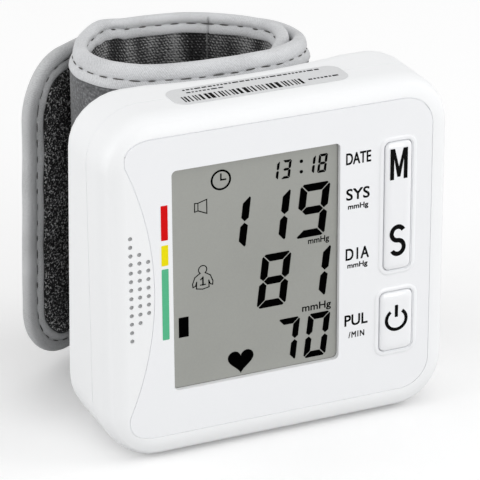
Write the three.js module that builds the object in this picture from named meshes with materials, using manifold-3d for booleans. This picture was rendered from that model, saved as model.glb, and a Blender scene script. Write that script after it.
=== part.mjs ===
import * as THREE from 'three';
import { mergeVertices } from 'three/addons/utils/BufferGeometryUtils.js';
import Module from 'manifold-3d';

// Wrist blood pressure monitor in millimetres: X to the right, Y from the face to the back, Z up.

// Clearances
const slip = 0.2;
const fit = 0.3;
const seamGap = 0.3;

// Face layout, seen from the front
const windowWidth = 34.7;
const windowHeight = 45.5;
const windowCorner = 1;
const plateLeftBorder = 9.2;
const plateRightBorder = 3.4;
const plateLowerBorder = 9.1;
const plateUpperBorder = 6.9;
const plateCorner = 6;
const plateWaist = 5.5;
const labelColumn = 8.4;
const sideMargin = 4.3;
const lowerMargin = 5;
const upperMargin = 4;
const caseCorner = 10.5;
const ridgeInset = 1.5;
const ridgeDepth = 0.7;
const ridgeTurn = THREE.MathUtils.degToRad(12);
const powerKeyWidth = 7.7;
const powerKeyHeight = 13.3;
const powerKeyRise = 8.5;
const rockerWidth = 6.4;
const rockerHeight = 27.5;
const keySpacing = 4.1;
const keyCorner = 1.5;
const bezelWidth = 0.8;
const bezelRise = 0.25;
const bezelSlope = 0.5;
const grillePitch = 1.76;
const grilleHole = 0.9;
const grilleInset = 0.7;
const grilleColumns = [13, 9, 7];

// Depth stack, from the face to the back
const plateThickness = 1;
const plateBond = 0.1;
const floorThickness = 1.4;
const paneThickness = 0.9;
const paneLap = 1;
const glassThickness = 2;
const glassSideLap = 1.3;
const glassEndLap = 2.6;
const stripHeight = 2.2;
const stripThickness = 1.8;
const boardThickness = 1.2;
const solderRoom = 0.5;
const wall = 2;
const frontBevelDepth = 5;
const rearBevelDepth = 6;
const rearBevelInset = 3.5;
const rearCrown = 7;
const rearRake = 0.063;
const rakeLevel = 23;
const tongueHeight = 1.5;
const tongueThickness = 0.75;

// Keys and switches
const capProud = 0.7;
const capBevel = 0.6;
const capWall = 1;
const flangeLap = 1;
const flangeThickness = 0.8;
const stemRadius = 1.5;
const keyTravel = 0.5;
const trunnionRadius = 0.8;
const trunnionReach = 1.6;
const rockerRib = 1.2;
const switchWidth = 4.5;
const switchHeight = 1.3;
const plungerHeight = 0.6;
const plungerRadius = 1.1;
const switchSpread = 8;

// Display holder, speaker and fasteners
const holderWall = 1.2;
const holderLedge = 4.5;
const speakerHeight = 22;
const speakerDepth = 3.6;
const speakerSlack = 0.8;
const speakerWall = 0.9;
const coneThickness = 0.5;
const bossInset = 7;
const bossRadius = 2.7;
const pillarRadius = 3.1;
const screwRadius = 1;
const screwHeadRadius = 2;
const screwHeadHeight = 1.6;
const screwReach = 4.5;
const screwSeat = 5;
const postRadius = 2.2;
const boardScrewRadius = 0.8;
const boardScrewHeadRadius = 1.7;
const boardScrewHeadHeight = 1.1;
const boardScrewReach = 2.6;

// Battery bay and door
const cellDiameter = 10.5;
const cellLength = 44.5;
const cellButtonRadius = 1.9;
const cellButtonHeight = 0.8;
const cellStagger = 0.3;
const bayWall = 0.75;
const bayRearWall = 1.6;
const contactThickness = 0.4;
const contactReach = 4;
const springHeight = 3.6;
const springWire = 0.7;
const springRadius = 3.3;
const springTaper = 0.8;
const springTurns = 2.5;
const doorLap = 1;
const doorLedge = 1.2;
const doorGap = 0.25;
const doorSeat = 0.1;
const doorRibs = 3;
const doorRibPitch = 2.2;
const doorRibHeight = 0.3;

// Pump, valve, sensor and hoses
const motorRadius = 6;
const motorLength = 16;
const motorRise = 14;
const headRadius = 6.3;
const headLength = 12;
const headWall = 1.3;
const headRoof = 1.8;
const shaftRadius = 0.75;
const shaftDepth = 10;
const crankRadius = 3.2;
const crankThickness = 2;
const crankThrow = 1.8;
const diaphragmThickness = 2;
const nippleRadius = 1;
const nippleLength = 3.4;
const nippleBore = 0.5;
const hoseRadius = 2.2;
const hoseBore = 1.5;
const manifoldX = -11.5;
const manifoldZ = 43;
const manifoldHalf = 3;
const airlineRoom = 3.3;
const valveWidth = 10;
const valveDepth = 8;
const valveHeight = 12;
const valveDrop = 14;
const valveBore = 2.2;
const sensorX = 5;
const sensorWidth = 7;
const sensorDepth = 5.6;

// Cuff
const saddleRadius = 88;
const earRise = 4.6;
const saddleUpperEdge = 7;
const saddleLowerEdge = 3;
const clothThickness = 0.6;
const stiffenerThickness = 0.35;
const bladderThickness = 0.45;
const layerGap = 0.2;
const tape = 0.4;
const tapeGap = 0.1;
const tapeReach = 4.6;
const cuffWidth = 66;
const cuffRise = 0.7;
const windGap = 0.4;
const leftEndRadius = 16.8;
const rightEndRadius = 14.3;
const rearRadius = 33.4;
const leftReach = THREE.MathUtils.degToRad(8.2);
const rightReach = THREE.MathUtils.degToRad(4.4);
const innerEndAngle = THREE.MathUtils.degToRad(14);
const stepOutFrom = THREE.MathUtils.degToRad(200);
const stepOutTo = THREE.MathUtils.degToRad(300);
const dropFrom = THREE.MathUtils.degToRad(390);
const peelAngle = THREE.MathUtils.degToRad(573.7);
const bladderEndAngle = THREE.MathUtils.degToRad(372);
const rimDrop = 3;
const endDip = 2.4;
const endDipTo = THREE.MathUtils.degToRad(75);
const bladderMargin = 12.6;
const stiffenerMargin = 5.4;
const studInset = 9.5;
const studHeadRadius = 2.5;
const studHeadThickness = 0.3;
const studRadius = 1.4;
const studBarb = 0.5;
const inletRadius = 2;
const inletFlange = 3;
const inletDrop = 16;
const tailLength = 21.5;
const tailSlant = 2.1;
const tailWidth = 65.2;
const tailCorner = 12.8;
const hookThickness = 0.5;

// Worked-out places on the face
const plateWidth = plateLeftBorder + windowWidth + labelColumn + powerKeyWidth + plateRightBorder;
const plateHeight = plateLowerBorder + windowHeight + plateUpperBorder;
const caseWidth = plateWidth + 2 * sideMargin;
const bayBottom = bossInset + pillarRadius + doorSeat;
const bayTop = bayBottom + cellLength + springHeight + 2 * contactThickness + 3.5 * slip;
const faceHeight = plateHeight + lowerMargin + upperMargin;
const caseHeight = Math.max(faceHeight, bayTop + fit + pillarRadius + bossInset);
const caseRight = caseWidth / 2;
const plateLeft = -plateWidth / 2;
const plateBottom = lowerMargin;
const plateMiddle = plateBottom + plateHeight / 2;
const windowLeft = plateLeft + plateLeftBorder;
const windowRight = windowLeft + windowWidth;
const windowBottom = plateBottom + plateLowerBorder;
const windowTop = windowBottom + windowHeight;
const windowMiddle = (windowBottom + windowTop) / 2;
const keyX = windowRight + labelColumn + powerKeyWidth / 2;
const powerKeyZ = plateBottom + powerKeyRise + powerKeyHeight / 2;
const rockerZ = plateBottom + powerKeyRise + powerKeyHeight + keySpacing + rockerHeight / 2;

// Worked-out depths
const recessFloor = plateThickness + plateBond;
const innerFront = recessFloor + floorThickness;
const glassFront = innerFront + slip;
const glassBack = glassFront + glassThickness;
const boardFront = glassBack + stripHeight + 2 * slip;
const boardBack = boardFront + boardThickness;
const seam = boardBack + solderRoom;
const frontEnd = seam - seamGap / 2;
const rearStart = seam + seamGap / 2;
const cellRadius = cellDiameter / 2;
const bayFront = rearStart + bayWall;
const innerCellY = bayFront + slip + cellRadius;
const outerCellY = innerCellY + cellStagger;
const outerCellX = caseRight - wall - slip - cellRadius;
const innerCellX = outerCellX - Math.sqrt((cellDiameter + slip) ** 2 - cellStagger ** 2);
const bayLeft = innerCellX - cellRadius - slip;
const saddleSag = saddleRadius - Math.sqrt(saddleRadius ** 2 - innerCellX ** 2);
const saddleDepth = innerCellY + cellRadius + slip + bayRearWall - saddleSag;
const caseDepth = saddleDepth + earRise;
const bossX = caseRight - bossInset;
const bossHeights = [bossInset, caseHeight - bossInset];
const seat = rearStart + screwSeat;

// Worked-out places inside
const plungerTip = boardFront - tapeGap - switchHeight - plungerHeight;
const stemEnd = plungerTip - keyTravel - tapeGap;
const pivotY = innerFront + fit + trunnionRadius;
const holderLeft = windowLeft - glassSideLap - slip - holderWall;
const holderRight = windowRight + glassSideLap + slip + holderWall;
const holderBottom = windowBottom - glassEndLap - slip - holderWall;
const holderTop = windowTop + glassEndLap + slip + holderWall;
const speakerX = (holderLeft - caseRight + wall) / 2;
const speakerWidth = holderLeft + caseRight - wall - 2 * speakerSlack;
const speakerFront = innerFront + fit;
const speakerBack = speakerFront + speakerDepth;
const boardPosts = [
  [holderRight + postRadius + fit, caseHeight - bossInset + slip],
  [holderRight + postRadius + fit, bossInset - slip],
  [speakerX, windowMiddle + speakerHeight / 2 + 3 * postRadius],
];
const pumpX = -(caseRight - wall - fit - 1.2 - headRadius);
const pumpY = boardBack + solderRoom + headRadius;
const motorTop = motorRise + motorLength;
const headBottom = motorTop + fit;
const headTop = headBottom + headLength;
const roofInside = headTop - headRoof;
const airlineY = boardBack + airlineRoom;
const valveTop = manifoldZ - valveDrop;
const valveBottom = valveTop - valveHeight;

// Worked-out cuff places
const bandCore = 2 * (clothThickness + layerGap) + stiffenerThickness + bladderThickness + layerGap;
const slotHalf = bandCore / 2 + tapeGap;
const bandHalf = slotHalf + tape;
const windPitch = 2 * bandHalf + windGap;
const bandFront = saddleDepth + fit + bandHalf;
const frontRadius = saddleRadius - fit - bandHalf;
const cuffTop = caseHeight + cuffRise;
const cuffBottom = cuffTop - cuffWidth;
const crest = bandHalf / 2;
const studHeights = [cuffTop - studInset, cuffBottom + studInset];
const inletZ = cuffTop - inletDrop;
const stiffenerOuter = bandCore / 2 - clothThickness - layerGap;
const stiffenerInner = stiffenerOuter - stiffenerThickness;
const bladderOuter = stiffenerInner - layerGap;
const bladderInner = bladderOuter - bladderThickness;

const wasm = await Module();
wasm.setup();

// Solids: a closed three.js geometry goes into a boolean and comes back as a geometry.
function solid(geometry) {
  const bare = geometry.clone();
  bare.deleteAttribute('normal');
  bare.deleteAttribute('uv');
  const merged = mergeVertices(bare, 1e-4);
  const corners = merged.index.array;
  const faces = [];
  for (let i = 0; i < corners.length; i += 3) {
    const [a, b, c] = corners.slice(i, i + 3);
    if (a !== b && b !== c && c !== a) faces.push(a, b, c);
  }
  const vertProperties = new Float32Array(merged.attributes.position.array);
  const triVerts = new Uint32Array(faces);
  return new wasm.Manifold(new wasm.Mesh({ numProp: 3, vertProperties, triVerts }));
}

function geometryOf(body) {
  const mesh = body.getMesh();
  const geometry = new THREE.BufferGeometry();
  geometry.setAttribute('position', new THREE.BufferAttribute(mesh.vertProperties, 3));
  geometry.setIndex(new THREE.BufferAttribute(mesh.triVerts, 1));
  geometry.computeVertexNormals();
  return geometry;
}

function cut(body, ...tools) {
  return tools.reduce((rest, tool) => rest.subtract(tool), body);
}

function join(body, ...others) {
  return others.reduce((sum, other) => sum.add(other), body);
}

// Shapes in the face plane and their straight or rounded prisms along Y
function roundedRect(left, right, bottom, top, radius) {
  const shape = new THREE.Shape();
  shape.moveTo(left + radius, bottom);
  shape.absarc(right - radius, bottom + radius, radius, -Math.PI / 2, 0);
  shape.absarc(right - radius, top - radius, radius, 0, Math.PI / 2);
  shape.absarc(left + radius, top - radius, radius, Math.PI / 2, Math.PI);
  shape.absarc(left + radius, bottom + radius, radius, Math.PI, 1.5 * Math.PI);
  return shape;
}

function centredRect(x, z, width, height, radius) {
  return roundedRect(x - width / 2, x + width / 2, z - height / 2, z + height / 2, radius);
}

function caseOutline(inset) {
  return roundedRect(inset - caseRight, caseRight - inset, inset, caseHeight - inset, caseCorner - inset);
}

function prism(shape, front, back, curveSegments = 4) {
  const options = { depth: back - front, bevelEnabled: false, curveSegments };
  const geometry = new THREE.ExtrudeGeometry(shape, options);
  return solid(geometry.rotateX(Math.PI / 2).translate(0, back, 0));
}

function roundedPrism(shape, front, back, bevelThickness, bevelSize, bevelSegments, curveSegments = 4) {
  const depth = back - front - 2 * bevelThickness;
  const bevelOffset = -bevelSize;
  const options = { depth, bevelThickness, bevelSize, bevelOffset, bevelSegments, curveSegments };
  const geometry = new THREE.ExtrudeGeometry(shape, options);
  return solid(geometry.rotateX(Math.PI / 2).translate(0, back - bevelThickness, 0));
}

// A body lofted along Y through outlines of equal point count, its depths raked back toward the base
function lofted(levels, rake) {
  const rings = levels.map(([outline]) => outline.getPoints(4));
  const count = rings[0].length;
  const positions = [];
  levels.forEach(([, depth], level) => {
    for (const point of rings[level]) {
      positions.push(point.x, depth - rake * (point.y - rakeLevel), point.y);
    }
  });
  const faces = [];
  const last = (levels.length - 1) * count;
  for (const [a, b, c] of THREE.ShapeUtils.triangulateShape(rings[0], [])) faces.push(a, b, c);
  for (const [a, b, c] of THREE.ShapeUtils.triangulateShape(rings[levels.length - 1], [])) {
    faces.push(last + c, last + b, last + a);
  }
  for (let base = 0; base < last; base += count) {
    for (let j = 0; j < count; j += 1) {
      const a = base + j;
      const b = base + ((j + 1) % count);
      faces.push(a, a + count, b + count, a, b + count, b);
    }
  }
  const geometry = new THREE.BufferGeometry();
  geometry.setAttribute('position', new THREE.Float32BufferAttribute(positions, 3));
  geometry.setIndex(faces);
  return solid(geometry);
}

function box(left, right, front, back, bottom, top) {
  const geometry = new THREE.BoxGeometry(right - left, back - front, top - bottom);
  return solid(geometry.translate((left + right) / 2, (front + back) / 2, (bottom + top) / 2));
}

// Turned pieces: a profile of radius and height, revolved about X, Y or Z
function turned(profile, axis, segments = 16) {
  const points = profile.map(([radius, along]) => new THREE.Vector2(radius, along));
  const geometry = new THREE.LatheGeometry(points, segments);
  if (axis === 'x') geometry.rotateZ(-Math.PI / 2);
  if (axis === 'z') geometry.rotateX(Math.PI / 2);
  return solid(geometry);
}

function rod(radius, from, to, axis, segments = 16) {
  return turned([[0, from], [radius, from], [radius, to], [0, to]], axis, segments);
}

function rodAt(radius, from, to, axis, x, y, z, segments = 12) {
  return rod(radius, from, to, axis, segments).translate([x, y, z]);
}

// Face plate outline: rounded on the right, bowed in on the left beside the grille
function plateOutline(grow) {
  const left = plateLeft - grow;
  const right = -plateLeft + grow;
  const bottom = plateBottom - grow;
  const top = plateBottom + plateHeight + grow;
  const corner = plateCorner + grow;
  const halfChord = plateHeight / 2 - plateCorner * 0.8;
  const bowRadius = (halfChord ** 2 + plateWaist ** 2) / (2 * plateWaist);
  const bowAngle = Math.asin(halfChord / bowRadius);
  const shape = new THREE.Shape();
  shape.moveTo(left + corner, bottom);
  shape.absarc(right - corner, bottom + corner, corner, -Math.PI / 2, 0);
  shape.absarc(right - corner, top - corner, corner, 0, Math.PI / 2);
  shape.lineTo(left + corner, top);
  shape.quadraticCurveTo(left - plateWaist / 8, top, left, plateMiddle + halfChord);
  shape.absarc(left + plateWaist - bowRadius, plateMiddle, bowRadius, bowAngle, -bowAngle, true);
  shape.quadraticCurveTo(left - plateWaist / 8, bottom, left + corner, bottom);
  return shape;
}

function keyOpening(width, height, z, grow) {
  return centredRect(keyX, z, width + 2 * grow, height + 2 * grow, keyCorner + grow);
}

function grilleHoles() {
  const holes = [];
  grilleColumns.forEach((count, column) => {
    const x = plateLeft + grilleInset + column * grillePitch;
    for (let row = 0; row < count; row += 1) {
      const z = windowMiddle + (row - (count - 1) / 2) * grillePitch;
      holes.push(rodAt(grilleHole / 2, -1, innerFront + 1, 'y', x, 0, z, 8));
    }
  });
  return holes;
}

function atBosses(make) {
  return [-bossX, bossX].flatMap((x) => bossHeights.map((z) => make(x, z)));
}

// Front of the case: a low crown from the plate to a soft ridge, then a round edge to the sides
function frontBody() {
  const crownWidth = sideMargin - ridgeInset;
  const edgeWidth = ridgeInset / (1 - Math.sin(ridgeTurn));
  const edgeDepth = (frontBevelDepth - ridgeDepth) / Math.cos(ridgeTurn);
  const levels = [];
  const crownSteps = 3;
  for (let i = 0; i <= crownSteps; i += 1) {
    const share = i / crownSteps;
    levels.push([caseOutline(sideMargin - crownWidth * share), ridgeDepth * share ** 2]);
  }
  const edgeSteps = 5;
  for (let i = 1; i <= edgeSteps; i += 1) {
    const turn = ridgeTurn + (i / edgeSteps) * (Math.PI / 2 - ridgeTurn);
    const depth = frontBevelDepth - edgeDepth * Math.cos(turn);
    levels.push([caseOutline(edgeWidth * (1 - Math.sin(turn))), depth]);
  }
  return lofted([...levels, [caseOutline(0), frontEnd]], 0);
}

function frontShell() {
  const paneSide = paneLap + slip;
  const paneOpening = roundedRect(
    windowLeft - paneSide,
    windowRight + paneSide,
    windowBottom - paneSide,
    windowTop + paneSide,
    windowCorner + paneSide,
  );
  const rebate = cut(
    prism(caseOutline(wall - tongueThickness - slip), frontEnd - tongueHeight - slip, frontEnd + 1),
    prism(caseOutline(wall + 1), 0, frontEnd + 2),
  );
  const shell = cut(
    frontBody(),
    prism(caseOutline(wall), innerFront, frontEnd + 1),
    prism(plateOutline(slip), -1, recessFloor, 8),
    prism(paneOpening, 0, innerFront + 1),
    prism(keyOpening(powerKeyWidth, powerKeyHeight, powerKeyZ, 0), 0, innerFront + 1),
    prism(keyOpening(rockerWidth, rockerHeight, rockerZ, 0), 0, innerFront + 1),
    rebate,
    ...grilleHoles(),
  );
  const root = innerFront - floorThickness / 2;
  const bosses = atBosses((x, z) => rodAt(bossRadius, root, frontEnd, 'y', x, 0, z));
  const posts = boardPosts.map(([x, z]) => rodAt(postRadius, root, boardFront - tapeGap, 'y', x, 0, z));
  const ribInner = rockerWidth / 2 + fit;
  const ribOuter = ribInner + rockerRib;
  const ribHalf = 2.75 * trunnionRadius;
  const ribEnd = pivotY + 1.75 * trunnionRadius;
  const ribs = [[-ribOuter, -ribInner], [ribInner, ribOuter]].map(([from, to]) => (
    box(keyX + from, keyX + to, root, ribEnd, rockerZ - ribHalf, rockerZ + ribHalf)
  ));
  const pilots = atBosses((x, z) => rodAt(screwRadius + slip, screwReach - slip, seam, 'y', x, 0, z));
  const postPilots = boardPosts.map(([x, z]) => (
    rodAt(boardScrewRadius + slip, boardFront - boardScrewReach - slip, boardFront, 'y', x, 0, z)
  ));
  const ends = [keyX - 2 * ribOuter, keyX + 2 * ribOuter];
  const bearing = rodAt(trunnionRadius + slip, ...ends, 'x', 0, pivotY, rockerZ);
  const snapHalf = 0.9 * trunnionRadius;
  const snapIn = box(
    keyX - 2 * ribOuter,
    keyX + 2 * ribOuter,
    pivotY,
    ribEnd + 1,
    rockerZ - snapHalf,
    rockerZ + snapHalf,
  );
  return cut(join(shell, ...bosses, ...posts, ...ribs), ...pilots, ...postPilots, bearing, snapIn);
}

// Saddle cutter: a large upright cylinder behind the case, flared so the case's rear edges are rounded
function saddle(inset) {
  const steps = 5;
  const profile = [[0, -1], [saddleRadius + inset + saddleLowerEdge, -1]];
  for (let i = 0; i <= steps; i += 1) {
    const turn = (i / steps) * (Math.PI / 2);
    const radius = saddleRadius + inset + saddleLowerEdge * (1 - Math.sin(turn));
    profile.push([radius, saddleLowerEdge * (1 - Math.cos(turn))]);
  }
  for (let i = 0; i <= steps; i += 1) {
    const turn = (i / steps) * (Math.PI / 2);
    const radius = saddleRadius + inset + saddleUpperEdge * (1 - Math.cos(turn));
    profile.push([radius, caseHeight - saddleUpperEdge * (1 - Math.sin(turn))]);
  }
  profile.push([saddleRadius + inset + saddleUpperEdge, caseHeight + 1], [0, caseHeight + 1]);
  return turned(profile, 'z', 128).translate([0, saddleDepth + saddleRadius, 0]);
}

// Back of the case: rounded behind, higher crowned along the top and raked toward the base
function rearOutline(inset, crown) {
  return roundedRect(inset - caseRight, caseRight - inset, inset, caseHeight - crown, caseCorner - inset);
}

function rearBody(shrink) {
  const levels = [[rearOutline(shrink, shrink), rearStart - 2 * rearBevelDepth]];
  const steps = 5;
  for (let i = 0; i <= steps; i += 1) {
    const turn = (i / steps) * (Math.PI / 2);
    const inset = shrink + rearBevelInset * (1 - Math.cos(turn));
    const crown = shrink + rearCrown * (1 - Math.cos(turn));
    levels.push([rearOutline(inset, crown), caseDepth - shrink - rearBevelDepth * (1 - Math.sin(turn))]);
  }
  return lofted(levels, rearRake);
}

function rearOuter() {
  const front = rearStart - 3 * rearBevelDepth;
  return cut(
    rearBody(0),
    box(-caseWidth, caseWidth, front, rearStart, -1, caseHeight + 1),
    saddle(0),
  );
}

const doorFront = outerCellY - cellRadius - slip;
const doorRear = outerCellY + cellRadius + slip;

// The door's opening: a through part for the cells and a shallow part above and below that it seats on
function doorOpening(gap, reach, seatGap) {
  const sides = [caseRight + 1, doorFront + gap, doorRear - gap];
  const ledge = doorLedge + gap;
  const lap = doorLap - gap;
  const through = box(caseRight - wall - reach, ...sides, bayBottom + ledge, bayTop - ledge);
  const shallow = box(caseRight - doorLap + seatGap, ...sides, bayBottom - lap, bayTop + lap);
  return join(through, shallow);
}

function bayInterior() {
  const room = box(bayLeft, caseRight - wall, bayFront, caseDepth + wall, bayBottom, bayTop);
  return cut(room.intersect(rearBody(bayRearWall)), saddle(bayRearWall));
}

function rearShell() {
  const outer = rearOuter();
  const cavity = cut(rearBody(wall), saddle(wall));
  const behind = caseDepth + rearRake * caseHeight;
  const bayRight = caseRight - wall / 2;
  const bayEnds = [bayBottom - bayWall, bayTop + bayWall];
  const bay = box(bayLeft - bayWall, bayRight, rearStart, behind, ...bayEnds);
  const pillars = atBosses((x, z) => rodAt(pillarRadius, rearStart, behind, 'y', x, 0, z));
  const cradles = [0.25, 0.75].map((share) => {
    const z = motorRise + share * motorLength;
    const right = pumpX + headRadius + wall;
    return box(-caseRight + wall / 2, right, pumpY, behind, z - wall / 2, z + wall / 2);
  });
  const added = [bay, ...pillars, ...cradles].map((body) => body.intersect(outer));
  const tongue = cut(
    prism(caseOutline(wall - tongueThickness), frontEnd - tongueHeight, rearStart + tongueHeight),
    prism(caseOutline(wall), 0, caseDepth),
  );
  const screwHoles = atBosses((x, z) => rodAt(screwRadius + slip, 0, behind, 'y', x, 0, z));
  const counterbores = atBosses((x, z) => rodAt(screwHeadRadius + fit, seat, behind, 'y', x, 0, z));
  const studHoles = studHeights.map((z) => rodAt(studRadius + fit, rearStart, behind, 'y', 0, 0, z));
  return cut(
    join(cut(outer, cavity), ...added, tongue),
    bayInterior(),
    doorOpening(0, wall, 0),
    rodAt(motorRadius + fit, motorRise, motorTop, 'z', pumpX, pumpY, 0, 24),
    rodAt(inletRadius + fit, bayFront, behind, 'y', 0, 0, inletZ),
    ...screwHoles,
    ...counterbores,
    ...studHoles,
  );
}

function batteryDoor() {
  const panel = rearOuter().intersect(doorOpening(doorGap, doorSeat, doorSeat));
  const middle = (bayBottom + bayTop) / 2;
  const half = doorRibPitch / 5;
  const sides = [caseRight - doorLap, caseRight + doorRibHeight];
  const ribs = [];
  for (let i = 0; i < doorRibs; i += 1) {
    const z = middle + (i - (doorRibs - 1) / 2) * doorRibPitch;
    ribs.push(box(...sides, doorFront + wall, caseDepth - rearBevelDepth, z - half, z + half));
  }
  return join(panel, ...ribs);
}

// A low rounded frame on the plate round a key
function keyBezel(width, height, z) {
  const outline = keyOpening(width, height, z, bezelWidth);
  return roundedPrism(outline, -bezelRise, plateThickness - bezelRise, bezelRise, bezelSlope, 2, 3);
}

function facePlate() {
  const glassWindow = roundedRect(windowLeft, windowRight, windowBottom, windowTop, windowCorner);
  const plate = join(
    prism(plateOutline(0), 0, plateThickness, 8),
    keyBezel(powerKeyWidth, powerKeyHeight, powerKeyZ),
    keyBezel(rockerWidth, rockerHeight, rockerZ),
  );
  return cut(
    plate,
    prism(glassWindow, -1, recessFloor),
    prism(keyOpening(powerKeyWidth, powerKeyHeight, powerKeyZ, 0), -1, recessFloor),
    prism(keyOpening(rockerWidth, rockerHeight, rockerZ, 0), -1, recessFloor),
  );
}

function displayWindow() {
  const outline = roundedRect(
    windowLeft - paneLap,
    windowRight + paneLap,
    windowBottom - paneLap,
    windowTop + paneLap,
    windowCorner + paneLap,
  );
  return prism(outline, recessFloor, recessFloor + paneThickness);
}

function glassBox(grow, front, back) {
  const side = glassSideLap + grow;
  const end = glassEndLap + grow;
  return box(windowLeft - side, windowRight + side, front, back, windowBottom - end, windowTop + end);
}

const stripHeights = [
  windowBottom - glassEndLap + stripThickness,
  windowTop + glassEndLap - stripThickness,
];

function stripBox(z, grow, front, back) {
  const half = stripThickness / 2 + grow;
  return box(windowLeft - grow, windowRight + grow, front, back, z - half, z + half);
}

function displayHolder() {
  const depths = [innerFront + tapeGap, boardFront - tapeGap];
  const body = box(holderLeft, holderRight, ...depths, holderBottom, holderTop);
  const lightWell = box(
    windowLeft,
    windowRight,
    glassBack,
    boardFront,
    windowBottom + holderLedge,
    windowTop - holderLedge,
  );
  const slots = stripHeights.map((z) => stripBox(z, slip, glassBack, boardFront));
  return cut(body, glassBox(slip, innerFront, glassBack + tapeGap), lightWell, ...slots);
}

function mainBoard() {
  const edge = wall + speakerSlack;
  const notches = atBosses((x, z) => rodAt(bossRadius + fit, 0, seam, 'y', x, 0, z));
  const holes = boardPosts.map(([x, z]) => rodAt(boardScrewRadius + slip, 0, seam, 'y', x, 0, z));
  return cut(prism(caseOutline(edge), boardFront, boardBack), ...notches, ...holes);
}

// Keys: a hollow cap with a rounded edge
function keyCap(width, height, z, back) {
  const outline = centredRect(keyX, z, width - 2 * fit, height - 2 * fit, keyCorner - fit);
  const cap = roundedPrism(outline, -capProud, back + 2 * capBevel, capBevel, capBevel, 3, 3);
  const behind = box(keyX - width, keyX + width, back, back + 3, z - height, z + height);
  return cut(cap, behind);
}

function powerKey() {
  const lap = 2 * flangeLap;
  const flangeFront = innerFront + fit;
  const flange = keyOpening(powerKeyWidth + lap, powerKeyHeight + lap, powerKeyZ, -fit);
  return join(
    keyCap(powerKeyWidth, powerKeyHeight, powerKeyZ, flangeFront + flangeThickness),
    prism(flange, flangeFront, flangeFront + flangeThickness, 2),
    rodAt(stemRadius, flangeFront, stemEnd, 'y', keyX, 0, powerKeyZ),
  );
}

function rockerKey() {
  const back = pivotY + trunnionRadius;
  const inset = 2 * (fit + capWall);
  const room = [rockerWidth - inset, rockerHeight - inset, keyCorner - capWall];
  const hollow = centredRect(keyX, rockerZ, ...room);
  const side = rockerWidth / 2 - fit;
  const reach = side + trunnionReach;
  const pins = [[-reach, -side + capWall / 2], [side - capWall / 2, reach]].map(([from, to]) => (
    rodAt(trunnionRadius, keyX + from, keyX + to, 'x', 0, pivotY, rockerZ)
  ));
  const stems = [-switchSpread, switchSpread].map((offset) => (
    rodAt(stemRadius, capWall / 2, stemEnd, 'y', keyX, 0, rockerZ + offset)
  ));
  const cap = keyCap(rockerWidth, rockerHeight, rockerZ, back);
  return join(cut(cap, prism(hollow, capWall, back + 1, 1)), ...pins, ...stems);
}

function tactSwitch() {
  const half = switchWidth / 2;
  const back = -tapeGap;
  const body = box(-half, half, back - switchHeight, back, -half, half);
  return join(body, rod(plungerRadius, back - switchHeight - plungerHeight, back, 'y', 12));
}

function screw(radius, headRadius, headHeight, reach) {
  return turned(
    [
      [0, -reach], [radius, -reach], [radius, 0],
      [headRadius, 0], [headRadius, headHeight], [0, headHeight],
    ],
    'y',
    10,
  );
}

// Speaker: a race-track cup behind the grille with its cone and magnet
function speakerOutline(inset) {
  const width = speakerWidth - 2 * inset;
  return centredRect(speakerX, windowMiddle, width, speakerHeight - 2 * inset, width / 2);
}

function speakerFrame() {
  const hollow = prism(speakerOutline(speakerWall), speakerFront - 1, speakerBack - speakerWall);
  return cut(prism(speakerOutline(0), speakerFront, speakerBack), hollow);
}

function speakerCone() {
  const front = speakerFront + coneThickness;
  return prism(speakerOutline(speakerWall + slip), front, front + coneThickness);
}

function speakerMagnet() {
  const front = speakerFront + 2 * coneThickness + slip;
  return prism(speakerOutline(2 * speakerWall), front, speakerBack - speakerWall - tapeGap);
}

// Battery cells and contacts
function cell() {
  const top = cellLength - cellButtonHeight;
  const radius = cellRadius;
  return turned(
    [
      [0, 0], [radius, 0], [radius, top],
      [cellButtonRadius, top], [cellButtonRadius, cellLength], [0, cellLength],
    ],
    'z',
    20,
  );
}

class ConeHelix extends THREE.Curve {
  getPoint(t, target = new THREE.Vector3()) {
    const angle = t * springTurns * 2 * Math.PI;
    const radius = springRadius - t * springTaper;
    const z = springWire / 2 + t * (springHeight - springWire);
    return target.set(radius * Math.cos(angle), radius * Math.sin(angle), z);
  }
}

function ringShape(radius, sides) {
  const shape = new THREE.Shape();
  for (let i = 0; i < sides; i += 1) {
    const angle = ((i + 0.5) / sides) * 2 * Math.PI;
    const step = i === 0 ? 'moveTo' : 'lineTo';
    shape[step](radius * Math.cos(angle), radius * Math.sin(angle));
  }
  return shape;
}

function contactSpring() {
  const helix = new ConeHelix();
  const turnStep = 1 / springTurns;
  let gap = Infinity;
  for (let t = 0; t <= 1 - turnStep; t += turnStep / 8) {
    gap = Math.min(gap, helix.getPoint(t).distanceTo(helix.getPoint(t + turnStep)) - springWire);
  }
  console.log(`contact spring: least gap between turns ${gap.toFixed(2)} mm`);
  const options = { steps: Math.round(springTurns * 8), bevelEnabled: false, extrudePath: helix };
  return solid(new THREE.ExtrudeGeometry(ringShape(springWire / 2, 5), options));
}

function contactPlate(left, right, y, z) {
  return box(left, right, y - contactReach, y + contactReach, z, z + contactThickness);
}

// Pump: motor can, crank on its shaft, diaphragm and head, all on one upright axis
function pumpMotor() {
  const bore = shaftRadius + slip;
  const boreBottom = motorLength - shaftDepth - slip;
  return turned(
    [
      [0, 0], [motorRadius, 0], [motorRadius, motorLength],
      [bore, motorLength], [bore, boreBottom], [0, boreBottom],
    ],
    'z',
    20,
  );
}

function pumpHead() {
  const inside = headRadius - headWall;
  const nozzle = headLength + nippleLength;
  const roof = headLength - headRoof;
  return turned(
    [
      [inside, 0], [headRadius, 0], [headRadius, headLength], [nippleRadius, headLength],
      [nippleRadius, nozzle], [nippleBore, nozzle], [nippleBore, roof], [inside, roof], [inside, 0],
    ],
    'z',
    24,
  );
}

const crankBottom = headBottom + crankThickness / 2;
const diaphragmBottom = roofInside - slip - diaphragmThickness;

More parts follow.
